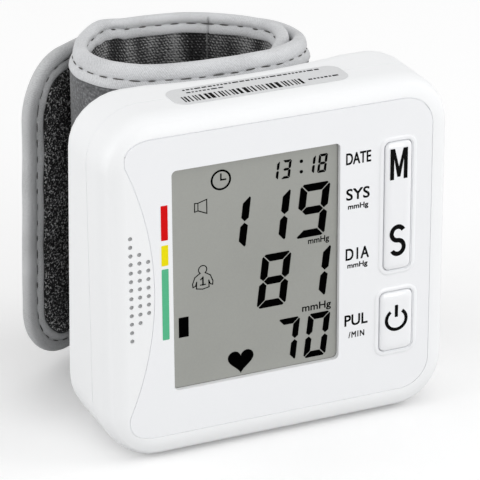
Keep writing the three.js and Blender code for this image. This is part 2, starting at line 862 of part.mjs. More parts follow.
function pumpRotor() {
  const shaft = rod(shaftRadius, motorTop - shaftDepth, crankBottom + crankThickness / 2, 'z', 12);
  const crank = rod(crankRadius, crankBottom, crankBottom + crankThickness, 'z');
  const pinTop = diaphragmBottom - fit;
  const pin = rodAt(shaftRadius, crankBottom, pinTop, 'z', crankThrow, 0, 0);
  return join(shaft, crank, pin);
}

function pumpDiaphragm() {
  const radius = headRadius - headWall - slip;
  const edge = diaphragmThickness / 2;
  return turned(
    [[0, 0], [crankRadius, 0], [radius, edge], [radius, diaphragmThickness], [0, diaphragmThickness]],
    'z',
    20,
  );
}

// Air line: nipples on the valve, sensor and manifold, with hoses pushed over them
function nipple(from, to, axis, x, y, z) {
  return rodAt(nippleRadius, from, to, axis, x, y, z, 10);
}

function exhaustValve() {
  const front = boardBack + fit;
  const left = manifoldX - valveWidth / 2;
  const right = manifoldX + valveWidth / 2;
  const middle = front + valveDepth / 2;
  const body = box(left, right, front, front + valveDepth, valveBottom, valveTop);
  const top = nipple(valveTop - 1, valveTop + nippleLength, 'z', manifoldX, airlineY, 0);
  const boreTop = valveBottom + valveHeight * 0.65;
  const bore = rodAt(valveBore, valveBottom - 1, boreTop, 'z', manifoldX, middle, 0);
  return cut(join(body, top), bore);
}

function valvePlunger() {
  const length = valveHeight / 2;
  return rod(valveBore - fit, 0, length, 'z');
}

function airManifold() {
  const half = manifoldHalf;
  const reach = half + nippleLength;
  const depth = half * 0.8;
  const body = join(
    box(-half, half, -depth, depth, -half, half),
    nipple(-reach, reach, 'x', 0, 0, 0),
    nipple(-reach, reach, 'z', 0, 0, 0),
  );
  const bores = ['x', 'z'].map((axis) => rod(nippleBore, -reach - 1, reach + 1, axis, 8));
  return cut(body, ...bores);
}

function pressureSensor() {
  const half = sensorWidth / 2;
  const front = boardBack + fit;
  const depths = [front, front + sensorDepth];
  const body = box(sensorX - half, sensorX + half, ...depths, manifoldZ - half, manifoldZ + half);
  const left = sensorX - half;
  return join(body, nipple(left - nippleLength, left + 1, 'x', 0, airlineY, manifoldZ));
}

function hose(points, steps) {
  const section = ringShape(hoseRadius, 8);
  section.holes.push(ringShape(hoseBore, 6));
  const path = points.length > 2
    ? new THREE.CatmullRomCurve3(points.map((point) => new THREE.Vector3(...point)))
    : new THREE.LineCurve3(new THREE.Vector3(...points[0]), new THREE.Vector3(...points[1]));
  return solid(new THREE.ExtrudeGeometry(section, { steps, bevelEnabled: false, extrudePath: path }));
}

const nippleStart = manifoldHalf + fit;
const nippleEnd = manifoldHalf + nippleLength;

function pumpHose() {
  const start = headTop + fit;
  const end = manifoldX - nippleStart;
  const turnX = manifoldX - nippleEnd;
  return hose([
    [pumpX, pumpY, start],
    [pumpX, pumpY, start + nippleLength / 2],
    [pumpX, pumpY, start + nippleLength],
    [pumpX + 1.8, pumpY - 0.9, start + nippleLength + 3.6],
    [(pumpX + turnX) / 2 + 1, (pumpY + airlineY) / 2 - 0.4, manifoldZ + 4.6],
    [turnX - 1.4, airlineY, manifoldZ + 0.7],
    [turnX + nippleLength / 2, airlineY, manifoldZ],
    [end, airlineY, manifoldZ],
  ], 14);
}

function valveHose() {
  const low = [manifoldX, airlineY, valveTop + fit];
  const high = [manifoldX, airlineY, manifoldZ - nippleStart];
  return hose([low, high], 1);
}

function sensorHose() {
  const left = [manifoldX + nippleStart, airlineY, manifoldZ];
  const right = [sensorX - sensorWidth / 2 - fit, airlineY, manifoldZ];
  return hose([left, right], 1);
}

const inletFlangeBack = saddleDepth - wall - slip;
const inletFlangeFront = inletFlangeBack - flangeThickness;
const inletTip = inletFlangeFront - nippleLength;

function cuffHose() {
  const start = manifoldZ + nippleStart;
  const bendY = boardBack + hoseRadius + fit;
  return hose([
    [manifoldX, airlineY, start],
    [manifoldX, airlineY, start + nippleLength / 2],
    [manifoldX, airlineY, start + nippleLength],
    [manifoldX + 2, bendY + 0.3, inletZ - 1.6],
    [manifoldX + 6.5, bendY, inletZ + 0.2],
    [-1.5, bendY + 1.2, inletZ],
    [0, inletTip, inletZ],
    [0, inletTip + nippleLength / 2, inletZ],
    [0, inletFlangeFront - fit, inletZ],
  ], 14);
}

// Cuff inlet: from the bladder through the saddle to its hose, with a flange inside the case
function cuffInlet() {
  const cuffEnd = bandFront - bladderOuter - tapeGap;
  return turned(
    [
      [nippleBore, inletTip], [nippleRadius, inletTip], [nippleRadius, inletFlangeFront],
      [inletFlange, inletFlangeFront], [inletFlange, inletFlangeBack], [inletRadius, inletFlangeBack],
      [inletRadius, cuffEnd], [nippleBore, cuffEnd], [nippleBore, inletTip],
    ],
    'y',
  );
}

function cuffStud() {
  const headFront = bandFront - stiffenerInner + tapeGap;
  const barbBack = saddleDepth - wall - slip;
  const barbFront = barbBack - wall / 2;
  return turned(
    [
      [0, barbFront], [studRadius, barbFront], [studRadius + studBarb, barbBack], [studRadius, barbBack],
      [studRadius, headFront], [studHeadRadius, headFront],
      [studHeadRadius, headFront + studHeadThickness],
      [0, headFront + studHeadThickness],
    ],
    'y',
  );
}

// Cuff plan: an oval of four tangent arcs, each point named by the direction of its outward normal,
// 0 toward the case and turning by way of the right end and the back to the left end
function outward(angle) {
  return new THREE.Vector2(Math.sin(angle), -Math.cos(angle));
}

function normalAngle(from, to) {
  const offset = to.clone().sub(from);
  return THREE.MathUtils.euclideanModulo(Math.atan2(offset.x, -offset.y), 2 * Math.PI);
}

const frontCentre = new THREE.Vector2(0, bandFront + frontRadius);
const leftCentre = outward(-leftReach).multiplyScalar(frontRadius - leftEndRadius).add(frontCentre);
const rightCentre = outward(rightReach).multiplyScalar(frontRadius - rightEndRadius).add(frontCentre);

function rearArcCentre() {
  const toLeft = rearRadius - leftEndRadius;
  const toRight = rearRadius - rightEndRadius;
  const span = rightCentre.clone().sub(leftCentre);
  const length = span.length();
  const along = (toLeft ** 2 - toRight ** 2 + length ** 2) / (2 * length);
  const across = Math.sqrt(toLeft ** 2 - along ** 2);
  const unit = span.normalize();
  const ahead = new THREE.Vector2(unit.y, -unit.x);
  return leftCentre.clone().addScaledVector(unit, along).addScaledVector(ahead, across);
}

const rearCentre = rearArcCentre();
const rearFrom = normalAngle(rearCentre, rightCentre);
const rearTo = normalAngle(rearCentre, leftCentre);
const arcs = [
  { from: 0, to: rightReach, centre: frontCentre, radius: frontRadius, steps: 1 },
  { from: rightReach, to: rearFrom, centre: rightCentre, radius: rightEndRadius, steps: 9 },
  { from: rearFrom, to: rearTo, centre: rearCentre, radius: rearRadius, steps: 6 },
  { from: rearTo, to: 2 * Math.PI - leftReach, centre: leftCentre, radius: leftEndRadius, steps: 11 },
  { from: 2 * Math.PI - leftReach, to: 2 * Math.PI, centre: frontCentre, radius: frontRadius, steps: 3 },
];

function windOffset(angle) {
  return windPitch * (THREE.MathUtils.smoothstep(angle, stepOutFrom, stepOutTo) - 1);
}

function rimLevel(angle) {
  const dip = endDip * (1 - THREE.MathUtils.smoothstep(angle, innerEndAngle, endDipTo));
  return -dip - rimDrop * THREE.MathUtils.smoothstep(angle, dropFrom, peelAngle);
}

function bandPoint(angle, offset) {
  const turn = THREE.MathUtils.euclideanModulo(angle, 2 * Math.PI);
  const arc = arcs.find((each) => turn <= each.to) ?? arcs[arcs.length - 1];
  return outward(angle).multiplyScalar(arc.radius + windOffset(angle) + offset).add(arc.centre);
}

function bandAngles(from, to) {
  const near = 0.02;
  const angles = [from];
  for (let turn = 0; turn < 2; turn += 1) {
    for (const arc of arcs) {
      for (let i = 1; i <= arc.steps; i += 1) {
        const angle = turn * 2 * Math.PI + arc.from + ((arc.to - arc.from) * i) / arc.steps;
        if (angle > from + near && angle < to - near) angles.push(angle);
      }
    }
  }
  return [...angles, to];
}

// A strip of the wound band: a closed section of offset and height carried along the winding
function wound(section, from, to) {
  const angles = bandAngles(from, to);
  const count = section.length;
  const positions = [];
  for (const angle of angles) {
    for (const [offset, height] of section) {
      const point = bandPoint(angle, offset);
      positions.push(point.x, point.y, height + rimLevel(angle));
    }
  }
  const faces = [];
  for (let ring = 0; ring < angles.length - 1; ring += 1) {
    for (let j = 0; j < count; j += 1) {
      const a = ring * count + j;
      const b = ring * count + ((j + 1) % count);
      faces.push(b, a, a + count, b, a + count, b + count);
    }
  }
  const contour = section.map(([offset, height]) => new THREE.Vector2(offset, height));
  const last = (angles.length - 1) * count;
  for (const [a, b, c] of THREE.ShapeUtils.triangulateShape(contour, [])) {
    faces.push(a, b, c, last + c, last + b, last + a);
  }
  const geometry = new THREE.BufferGeometry();
  geometry.setAttribute('position', new THREE.Float32BufferAttribute(positions, 3));
  geometry.setIndex(faces);
  return solid(geometry);
}

function strip(inner, outer, bottom, top, to) {
  const section = [[inner, bottom], [outer, bottom], [outer, top], [inner, top]];
  return wound(section, innerEndAngle, to);
}

const clothBottom = cuffBottom + crest + layerGap;
const clothTop = cuffTop - crest - layerGap;

function throughCuff() {
  const front = saddleDepth - wall;
  const back = bandFront + bandCore / 2;
  const studs = studHeights.map((z) => rodAt(studRadius + fit, front, back, 'y', 0, 0, z));
  return [...studs, rodAt(inletRadius + fit, front, back, 'y', 0, 0, inletZ)];
}

function outerCloth() {
  const half = bandCore / 2;
  const cloth = strip(half - clothThickness, half, clothBottom, clothTop, peelAngle);
  const face = box(-caseRight, caseRight, saddleDepth - wall, bandFront, cuffBottom, cuffTop);
  return cut(cloth, ...throughCuff().map((tool) => tool.intersect(face)));
}

function innerCloth() {
  const half = bandCore / 2;
  return strip(-half, clothThickness - half, clothBottom, clothTop, peelAngle);
}

function stiffener() {
  const sheet = strip(
    stiffenerInner,
    stiffenerOuter,
    cuffBottom + stiffenerMargin,
    cuffTop - stiffenerMargin,
    bladderEndAngle,
  );
  return cut(sheet, ...throughCuff());
}

function bladder() {
  const sheet = [bladderInner, bladderOuter, cuffBottom + bladderMargin, cuffTop - bladderMargin];
  return strip(...sheet, bladderEndAngle - rightReach);
}

// Edge binding: a tape folded over the rim with a rounded crest
function bindingSection() {
  const low = cuffTop - tapeReach;
  const shoulder = cuffTop - crest;
  const section = [[slotHalf, low], [bandHalf, low]];
  const steps = 4;
  for (let i = 0; i <= steps; i += 1) {
    const turn = (i / steps) * Math.PI;
    section.push([bandHalf * Math.cos(turn), shoulder + crest * Math.sin(turn)]);
  }
  return [...section, [-bandHalf, low], [-slotHalf, low], [-slotHalf, shoulder], [slotHalf, shoulder]];
}

function upperBinding() {
  return wound(bindingSection(), innerEndAngle, peelAngle);
}

function lowerBinding() {
  const upper = bindingSection();
  const mirrored = upper.map(([offset, height]) => [offset, cuffTop + cuffBottom - height]).reverse();
  return wound(mirrored, innerEndAngle, peelAngle);
}

// Tail: the cuff's free end, drawn along its own X with the wrist side toward +Y
const tailTop = cuffTop - rimDrop;
const tailBottom = tailTop - tailWidth;

function tailOutline(inset, root) {
  const radius = tailCorner - inset;
  const corner = tailLength - tailCorner;
  const lower = tailBottom + tailCorner;
  const upper = tailTop - tailCorner;
  const lean = Math.atan2(tailSlant, upper - lower);
  const shape = new THREE.Shape();
  shape.moveTo(root, lower - radius);
  shape.lineTo(corner + tailSlant / 2, lower - radius);
  shape.absarc(corner + tailSlant / 2, lower, radius, -Math.PI / 2, lean);
  shape.absarc(corner - tailSlant / 2, upper, radius, lean, Math.PI / 2);
  shape.lineTo(root, upper + radius);
  return shape;
}

const tailRoot = windGap;

function tailCloth() {
  return prism(tailOutline(crest + layerGap, tailRoot), -bandCore / 2, bandCore / 2);
}

function tailHookPatch() {
  return prism(tailOutline(tapeReach + layerGap, tailRoot), slotHalf, slotHalf + hookThickness);
}

function tailBinding() {
  return cut(
    roundedPrism(tailOutline(0, -tailLength), -bandHalf, bandHalf, crest, crest, 2),
    box(-2 * tailLength, tailRoot, -tailLength, tailLength, tailBottom - 1, tailTop + 1),
    prism(tailOutline(tapeReach, -1), -2 * bandHalf, 2 * bandHalf),
    prism(tailOutline(crest, -1), -slotHalf, slotHalf),
  );
}

// Materials
function material(color, roughness, metalness = 0) {
  return () => new THREE.MeshStandardMaterial({ color, roughness, metalness });
}

const whitePlastic = material(0xf4f5f7, 0.35);
const clearPlastic = material(0xdfe4e6, 0.1);
const liquidCrystal = material(0x9d9e98, 0.2);
const darkRubber = material(0x2b2c2e, 0.8);
const paleRubber = material(0xb9bcc0, 0.6);
const greenBoard = material(0x1f6b3a, 0.5);
const steel = material(0xb8bcc2, 0.35, 0.9);
const blackPlastic = material(0x1d1e20, 0.5);
const greyCloth = material(0x6e6f72, 0.95);
const liningCloth = material(0x4b4b4d, 0.95);
const bindingTape = material(0xbdbec1, 0.9);
const hookPile = material(0x1c1c1e, 1);
const cellWrap = material(0x3f6ea5, 0.4);

const part = new THREE.Group();
const caseGroup = new THREE.Group();
const tailGroup = new THREE.Group();
const tailPoint = bandPoint(peelAngle, 0);
const baseCentre = (frontBevelDepth + caseDepth - rearBevelDepth) / 2;
caseGroup.position.y = -baseCentre;
tailGroup.position.set(tailPoint.x, tailPoint.y, 0);
tailGroup.rotation.z = peelAngle;
caseGroup.add(tailGroup);
part.add(caseGroup);

function add(name, body, makeMaterial, place = [0, 0, 0], parent = caseGroup) {
  const mesh = new THREE.Mesh(geometryOf(body), makeMaterial());
  mesh.name = name;
  mesh.position.set(...place);
  parent.add(mesh);
  return mesh;
}

add('front_shell', frontShell(), whitePlastic);
add('rear_shell', rearShell(), whitePlastic);
add('face_plate', facePlate(), whitePlastic);
add('display_window', displayWindow(), clearPlastic);
add('battery_door', batteryDoor(), whitePlastic);
const caseScrew = screw(screwRadius, screwHeadRadius, screwHeadHeight, seat - screwReach);
atBosses((x, z) => [x, seat + tapeGap, z]).forEach((place, i) => {
  add(`case_screw_${i + 1}`, caseScrew, steel, place);
});

add('memory_set_key', rockerKey(), clearPlastic);
add('power_key', powerKey(), clearPlastic);
const switchBody = tactSwitch();
add('memory_switch', switchBody, blackPlastic, [keyX, boardFront, rockerZ + switchSpread]);
add('set_switch', switchBody, blackPlastic, [keyX, boardFront, rockerZ - switchSpread]);
add('power_switch', switchBody, blackPlastic, [keyX, boardFront, powerKeyZ]);
add('lcd_panel', glassBox(0, glassFront, glassBack), liquidCrystal);
add('lcd_holder', displayHolder(), whitePlastic);
stripHeights.forEach((z, i) => {
  add(`zebra_strip_${i + 1}`, stripBox(z, 0, glassBack + slip, boardFront - slip), paleRubber);
});
add('main_board', mainBoard(), greenBoard);
const boardScrewLength = boardScrewReach + boardThickness;
const boardScrew = screw(boardScrewRadius, boardScrewHeadRadius, boardScrewHeadHeight, boardScrewLength);
boardPosts.forEach(([x, z], i) => {
  add(`board_screw_${i + 1}`, boardScrew, steel, [x, boardBack + tapeGap, z]);
});
add('speaker_frame', speakerFrame(), blackPlastic);
add('speaker_cone', speakerCone(), darkRubber);
add('speaker_magnet', speakerMagnet(), steel);

const lowerContact = bayBottom + slip;
const upperContact = bayTop - slip - contactThickness;
const outerCellZ = upperContact - slip / 2 - cellLength;
const innerCellZ = lowerContact + contactThickness + slip / 2;
add('battery_cell_outer', cell(), cellWrap, [outerCellX, outerCellY, outerCellZ]);
const flipped = cell().rotate([180, 0, 0]).translate([0, 0, cellLength]);
add('battery_cell_inner', flipped, cellWrap, [innerCellX, innerCellY, innerCellZ]);
const contactMiddle = (innerCellY + outerCellY) / 2;
const innerLeft = innerCellX - contactReach;
const outerRight = outerCellX + contactReach;
add('contact_bridge', contactPlate(innerLeft, outerRight, contactMiddle, upperContact), steel);
add('contact_plus', contactPlate(innerLeft, innerCellX + contactReach, innerCellY, lowerContact), steel);
add('contact_minus', contactPlate(outerCellX - contactReach, outerRight, outerCellY, lowerContact), steel);
const spring = contactSpring();
const springFoot = lowerContact + contactThickness + slip / 2;
add('contact_spring_outer', spring, steel, [outerCellX, outerCellY, springFoot]);
const hangingSpring = spring.rotate([180, 0, 0]);
add('contact_spring_inner', hangingSpring, steel, [innerCellX, innerCellY, upperContact - slip / 2]);

add('pump_motor', pumpMotor(), steel, [pumpX, pumpY, motorRise]);
add('pump_rotor', pumpRotor(), steel, [pumpX, pumpY, 0]);
add('pump_head', pumpHead(), blackPlastic, [pumpX, pumpY, headBottom]);
add('pump_diaphragm', pumpDiaphragm(), darkRubber, [pumpX, pumpY, diaphragmBottom]);
add('exhaust_valve', exhaustValve(), blackPlastic);
const plungerTop = valveBottom + valveHeight * 0.65 - fit;
const plungerPlace = [manifoldX, boardBack + fit + valveDepth / 2, plungerTop - valveHeight / 2];
add('valve_plunger', valvePlunger(), steel, plungerPlace);
add('pressure_sensor', pressureSensor(), blackPlastic);
add('air_manifold', airManifold(), whitePlastic, [manifoldX, airlineY, manifoldZ]);
add('pump_hose', pumpHose(), paleRubber);
add('valve_hose', valveHose(), paleRubber);
add('sensor_hose', sensorHose(), paleRubber);
add('cuff_hose', cuffHose(), paleRubber);
add('cuff_inlet', cuffInlet(), whitePlastic, [0, 0, inletZ]);

add('cuff_outer_cloth', outerCloth(), greyCloth);
add('cuff_inner_cloth', innerCloth(), liningCloth);
add('cuff_stiffener', stiffener(), clearPlastic);
add('cuff_bladder', bladder(), darkRubber);
add('cuff_upper_binding', upperBinding(), bindingTape);
add('cuff_lower_binding', lowerBinding(), bindingTape);
studHeights.forEach((z, i) => add(`cuff_stud_${i + 1}`, cuffStud(), whitePlastic, [0, 0, z]));
add('tail_cloth', tailCloth(), greyCloth, [0, 0, 0], tailGroup);
add('tail_hook_patch', tailHookPatch(), hookPile, [0, 0, 0], tailGroup);
add('tail_binding', tailBinding(), bindingTape, [0, 0, 0], tailGroup);

export default part;
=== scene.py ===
import bisect
import math

import bmesh
import bpy
from mathutils import Matrix, Vector, noise


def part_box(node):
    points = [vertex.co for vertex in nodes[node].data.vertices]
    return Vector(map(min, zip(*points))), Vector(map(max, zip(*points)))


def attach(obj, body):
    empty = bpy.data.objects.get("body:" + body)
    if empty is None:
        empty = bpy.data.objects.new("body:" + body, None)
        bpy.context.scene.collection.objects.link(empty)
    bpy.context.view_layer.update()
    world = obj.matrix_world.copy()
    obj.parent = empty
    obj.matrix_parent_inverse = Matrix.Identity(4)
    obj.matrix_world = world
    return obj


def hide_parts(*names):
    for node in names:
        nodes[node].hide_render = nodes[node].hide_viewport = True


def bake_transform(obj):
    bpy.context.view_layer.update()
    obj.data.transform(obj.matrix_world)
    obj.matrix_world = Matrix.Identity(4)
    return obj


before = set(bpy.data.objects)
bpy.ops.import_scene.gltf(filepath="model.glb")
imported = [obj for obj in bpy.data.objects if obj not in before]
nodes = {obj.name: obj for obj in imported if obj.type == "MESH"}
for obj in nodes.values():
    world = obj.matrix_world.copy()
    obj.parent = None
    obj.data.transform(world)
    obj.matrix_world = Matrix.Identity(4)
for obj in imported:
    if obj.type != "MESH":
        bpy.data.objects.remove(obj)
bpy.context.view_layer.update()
scene = bpy.context.scene
scene.view_settings.view_transform = "Standard"
mm = 0.001
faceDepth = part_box("front_shell")[0].y  # the plane of the face plate
print("frame loaded:", len(nodes), "nodes")


def addPiece(name, data):
    piece = bpy.data.objects.new(name, data)
    scene.collection.objects.link(piece)
    return piece


def addNode(tree, kind, inputs=None, **values):
    made = tree.nodes.new(kind)  # an input that is a socket is linked, a plain value is set
    for key, value in values.items():
        setattr(made, key, value)
    for key, value in (inputs or {}).items():
        if isinstance(value, bpy.types.NodeSocket):
            tree.links.new(value, made.inputs[key])
        else:
            made.inputs[key].default_value = value
    return made


cameraSizes = {
    "place": (-207.45, -459.71, 263.25),  # mm, depth counted from the face plate
    "right": (0.91697137, -0.39891882, -0.00522347),
    "up": (0.1648177, 0.36686846, 0.91555593),
    "ahead": (0.36331616, 0.84039949, -0.40215676),
    "lens": 216.53, "sensor": 36, "clip": (0.01, 20),
}


def addCamera(sizes):
    data = bpy.data.cameras.new("camera")
    data.lens, data.sensor_width = sizes["lens"], sizes["sensor"]
    data.clip_start, data.clip_end = sizes["clip"]
    right, up, ahead = (Vector(sizes[key]) for key in ("right", "up", "ahead"))
    turn = Matrix((right, up, -ahead)).transposed().to_4x4()
    place = Vector(sizes["place"]) * mm
    place.y += faceDepth
    scene.camera = addPiece("camera", data)
    scene.camera.matrix_world = Matrix.Translation(place) @ turn


lightSizes = {
    "sky": 0.68,
    "lamps": [  # name, place, target, size, watts
        ("softboxFront", (0.3, -1.15, 0.26), (0, 0, 0.04), 0.5, 4.45),
        ("softboxLeft", (-1.08, 0.16, 0.32), (0, 0, 0.04), 0.8, 4.8),
        ("softboxRight", (0.85, -0.35, 0.6), (0, 0, 0.04), 0.6, 2.1),
        ("softboxTop", (0.2, 0.1, 1.0), (0, 0.02, 0.04), 0.6, 0.22),
    ],
}


def addLamps(sizes):
    for name, place, target, size, watts in sizes["lamps"]:
        data = bpy.data.lights.new(name, "AREA")
        data.energy, data.size = watts, size
        lamp = addPiece(name, data)
        lamp.location = place
        lamp.rotation_euler = (Vector(target) - Vector(place)).to_track_quat("-Z", "Y").to_euler()


def seenRays(tree):
    rays = addNode(tree, "ShaderNodeLightPath").outputs  # camera, mirror and glass rays see plain white
    first = addNode(tree, "ShaderNodeMath", {0: rays["Is Camera Ray"], 1: rays["Is Glossy Ray"]}, operation="MAXIMUM")
    both = {0: first.outputs[0], 1: rays["Is Transmission Ray"]}
    return addNode(tree, "ShaderNodeMath", both, operation="MAXIMUM").outputs[0]


def addSky(sizes):
    scene.world = bpy.data.worlds.new("studio")
    scene.world.use_nodes = True
    tree = scene.world.node_tree
    strength = addNode(tree, "ShaderNodeMapRange", {"Value": seenRays(tree), "To Min": sizes["sky"], "To Max": 1.0})
    back = tree.nodes["Background"]
    back.inputs["Color"].default_value = (1, 1, 1, 1)
    tree.links.new(strength.outputs["Result"], back.inputs["Strength"])


floorSizes = {"half": 3.0, "sink": 0.0002, "colour": 1.0, "bounce": 0.5, "lift": 0.08}


def addFloor(sizes):
    half = sizes["half"]
    mesh = bpy.data.meshes.new("floor")
    mesh.from_pydata([(-half, -half, 0), (half, -half, 0), (half, half, 0), (-half, half, 0)], [], [(0, 1, 2, 3)])
    floor = addPiece("floor", mesh)
    floor.location.z = -sizes["sink"]
    mat = bpy.data.materials.new("paleFloor")
    mat.use_nodes = True
    tree = mat.node_tree
    tree.nodes.clear()
    seen = seenRays(tree)
    levels = {"Value": seen, "To Min": sizes["bounce"], "To Max": sizes["colour"]}
    tone = addNode(tree, "ShaderNodeMapRange", levels)  # seen pale, with less light thrown back up at the object
    paint = addNode(tree, "ShaderNodeBsdfDiffuse", {"Color": tone.outputs["Result"]})
    lift = addNode(tree, "ShaderNodeMath", {0: seen, 1: sizes["lift"]}, operation="MULTIPLY")
    glow = addNode(tree, "ShaderNodeEmission", {"Strength": lift.outputs[0]})
    both = addNode(tree, "ShaderNodeAddShader", {0: paint.outputs[0], 1: glow.outputs[0]})
    addNode(tree, "ShaderNodeOutputMaterial", {"Surface": both.outputs[0]})
    mesh.materials.append(mat)


addCamera(cameraSizes)
addLamps(lightSizes)
addSky(lightSizes)
addFloor(floorSizes)
print("camera, lamps and floor ready")


def linear(value):
    share = value / 255
    return share / 12.92 if share <= 0.04045 else ((share + 0.055) / 1.055) ** 2.4


def rgb(red, green, blue):
    return (linear(red), linear(green), linear(blue), 1)


def toned(shade, factor):
    return tuple(channel * factor for channel in shade[:3]) + (1,)


class Finish:
    def __init__(self, name, roughness, inputs=None):
        self.mat = bpy.data.materials.new(name)
        self.mat.use_nodes = True
        self.tree = self.mat.node_tree
        self.shader = self.tree.nodes["Principled BSDF"]
        for label, value in {"Roughness": roughness, **(inputs or {})}.items():
            self.shader.inputs[label].default_value = value

    def add(self, kind, inputs, output=0, **values):
        return addNode(self.tree, kind, inputs, **values).outputs[output]

    def place(self, source="Object", scale=(1, 1, 1), turn=0, shift=0.0):
        where = self.add("ShaderNodeTexCoord", {}, source)
        inputs = {"Vector": where, "Scale": scale, "Rotation": (0, 0, math.radians(turn)), "Location": (shift, 0, 0)}
        return self.add("ShaderNodeMapping", inputs)

    def noise(self, place, scale, detail=3.0):
        return self.add("ShaderNodeTexNoise", {"Vector": place, "Scale": scale, "Detail": detail}, "Fac")

    def bands(self, place, scale, direction, distortion):
        inputs = {"Vector": place, "Scale": scale, "Distortion": distortion, "Detail": 1.0}
        return self.add("ShaderNodeTexWave", inputs, "Fac", wave_type="BANDS", bands_direction=direction,
                        wave_profile="SIN")

    def ramp(self, value, *stops):
        made = addNode(self.tree, "ShaderNodeValToRGB", {"Fac": value})
        elements = made.color_ramp.elements
        while len(elements) < len(stops):
            elements.new(0.5)
        for element, (position, colour) in zip(elements, stops):
            element.position = position
            element.color = colour
        return made.outputs["Color"]

    def colour(self, socket):
        self.tree.links.new(socket, self.shader.inputs["Base Color"])

    def tint(self, value, *stops):
        self.colour(self.ramp(value, *stops))

    def rough(self, value, low, high):
        spread = self.add("ShaderNodeMapRange", {"Value": value, "To Min": low, "To Max": high}, "Result")
        self.tree.links.new(spread, self.shader.inputs["Roughness"])

    def bump(self, value, distance, strength):
        normals = self.shader.inputs["Normal"]
        inputs = {"Height": value, "Distance": distance, "Strength": strength}
        if normals.is_linked:
            inputs["Normal"] = normals.links[0].from_socket
        self.tree.links.new(self.add("ShaderNodeBump", inputs), normals)

    def math(self, operation, first, second):
        return self.add("ShaderNodeMath", {0: first, 1: second}, operation=operation)

    def weighted(self, *parts):
        total = None
        for value, weight in parts:
            part = self.math("MULTIPLY", value, weight)
            total = part if total is None else self.math("ADD", total, part)
        return total


def twoTone(shade, factor):
    return (0.3, toned(shade, factor)), (0.7, shade)


def mouldedPlastic(name, shade, roughness, grain=900.0, coat=0.0):
    finish = Finish(name, roughness, {"Coat Weight": coat, "Coat Roughness": 0.08})
    place = finish.place()
    finish.tint(finish.noise(place, 60.0), *twoTone(shade, 0.992))
    finish.rough(finish.noise(place, 220.0), roughness * 0.94, roughness * 1.08)
    finish.bump(finish.noise(place, grain, 2.0), 0.00002, 0.1)
    return finish.mat


def plainFinish(name, roughness, size, stops, rough=None, bump=None, inputs=None, detail=3.0, **place):
    finish = Finish(name, roughness, inputs)  # one grain for colour, roughness and relief
    grain = finish.noise(finish.place(**place), size, detail)
    finish.tint(grain, *stops)
    if rough is not None:
        finish.rough(grain, *rough)
    if bump is not None:
        finish.bump(grain, *bump)
    return finish.mat


def printedInk(name, shade, roughness=0.45, gloss=0.04):
    lighter = tuple(min(1, channel * 1.05 + 0.0008) for channel in shade[:3]) + (1,)
    return plainFinish(name, roughness, 2600.0, ((0.35, shade), (0.75, lighter)),
                       (roughness * 0.9, roughness * 1.15), inputs={"Specular IOR Level": gloss}, detail=2.0)


def rubber(name, shade):
    return plainFinish(name, 0.6, 400.0, twoTone(shade, 0.8), (0.51, 0.69), (0.00003, 0.3))


def threadSpun(name, shade):
    return plainFinish(name, 0.8, 5200.0, twoTone(shade, 0.6), None, (0.00004, 0.5), detail=1.0, turn=30)


def boardLaminate():
    finish = Finish("boardLaminate", 0.42)
    place = finish.place()
    tracks = {"Vector": place, "Scale": 210.0, "Mortar Size": 0.03, "Color1": rgb(24, 92, 52),
              "Color2": rgb(28, 104, 58), "Mortar": rgb(60, 140, 84)}
    finish.colour(finish.add("ShaderNodeTexBrick", tracks, "Color"))
    finish.bump(finish.noise(place, 500.0), 0.00002, 0.2)
    return finish.mat


def liquidCrystal():
    finish = Finish("liquidCrystal", 0.4)
    place = finish.place()
    cloud = finish.noise(place, 35.0)
    both = finish.weighted((cloud, 0.7), (finish.noise(place, 3200.0, 1.0), 0.3))
    finish.tint(both, (0.3, rgb(152, 153, 148)), (0.7, rgb(160, 161, 156)))
    finish.rough(cloud, 0.35, 0.5)
    return finish.mat


def twillTape(name, dark, middle, light):
    finish = Finish(name, 0.9, {"Sheen Weight": 0.15, "Sheen Roughness": 0.5})
    weave = finish.bands(finish.place("UV", turn=-34), 880.0, "X", 0.8)
    flat = finish.place("UV")
    fluff = finish.noise(flat, 2600.0, 2.0)
    shade = finish.weighted((weave, 0.14), (fluff, 0.44), (finish.noise(flat, 130.0), 0.42))
    finish.tint(shade, (0.25, dark), (0.52, middle), (0.8, light))
    finish.bump(weave, 0.00005, 0.4)
    finish.bump(fluff, 0.00005, 0.5)
    return finish.mat


def brushedCloth():
    finish = Finish("brushedCloth", 0.95, {"Sheen Weight": 0.25, "Sheen Roughness": 0.6})
    flat = finish.place("UV")
    fibre = finish.noise(flat, 1900.0, 3.0)
    shade = finish.weighted((fibre, 0.75), (finish.noise(flat, 260.0, 2.0), 0.25))
    finish.tint(shade, (0.34, rgb(58, 59, 60)), (0.52, rgb(94, 95, 97)), (0.7, rgb(140, 141, 143)))
    finish.bump(fibre, 0.00012, 0.6)
    return finish.mat


def knitLining():
    finish = Finish("knitLining", 0.95)
    flat = finish.place("UV")
    rows = finish.bands(flat, 520.0, "Y", 2.2)
    slant = finish.bands(finish.place("UV", turn=38), 520.0, "X", 4.0)
    fleck = finish.noise(finish.place("UV", (1, 1.6, 1), 24), 1900.0, 1.0)
    # painted shade: a stretched noise, shifted along the band, paints broad dark and light bands down the lining for
    # the shade of its folds
    foldShade = finish.noise(finish.place("UV", (1, 0.12, 1), shift=0.0064), 190.0, 1.0)
    foldShade = finish.ramp(foldShade, (0.38, (0.3, 0.3, 0.3, 1)), (0.62, (0.7, 0.7, 0.7, 1)))
    stitch = finish.math("MULTIPLY", finish.math("ADD", rows, 0.5), finish.math("ADD", slant, 0.45))
    yarn = finish.math("MULTIPLY", stitch, fleck)
    shade = finish.weighted((yarn, 0.24), (finish.noise(flat, 2600.0, 2.0), 0.48), (foldShade, 0.62))
    finish.tint(shade, (0.5, rgb(14, 14, 15)), (0.66, rgb(74, 74, 75)), (0.87, rgb(188, 188, 188)))
    finish.bump(yarn, 0.0002, 0.7)
    return finish.mat


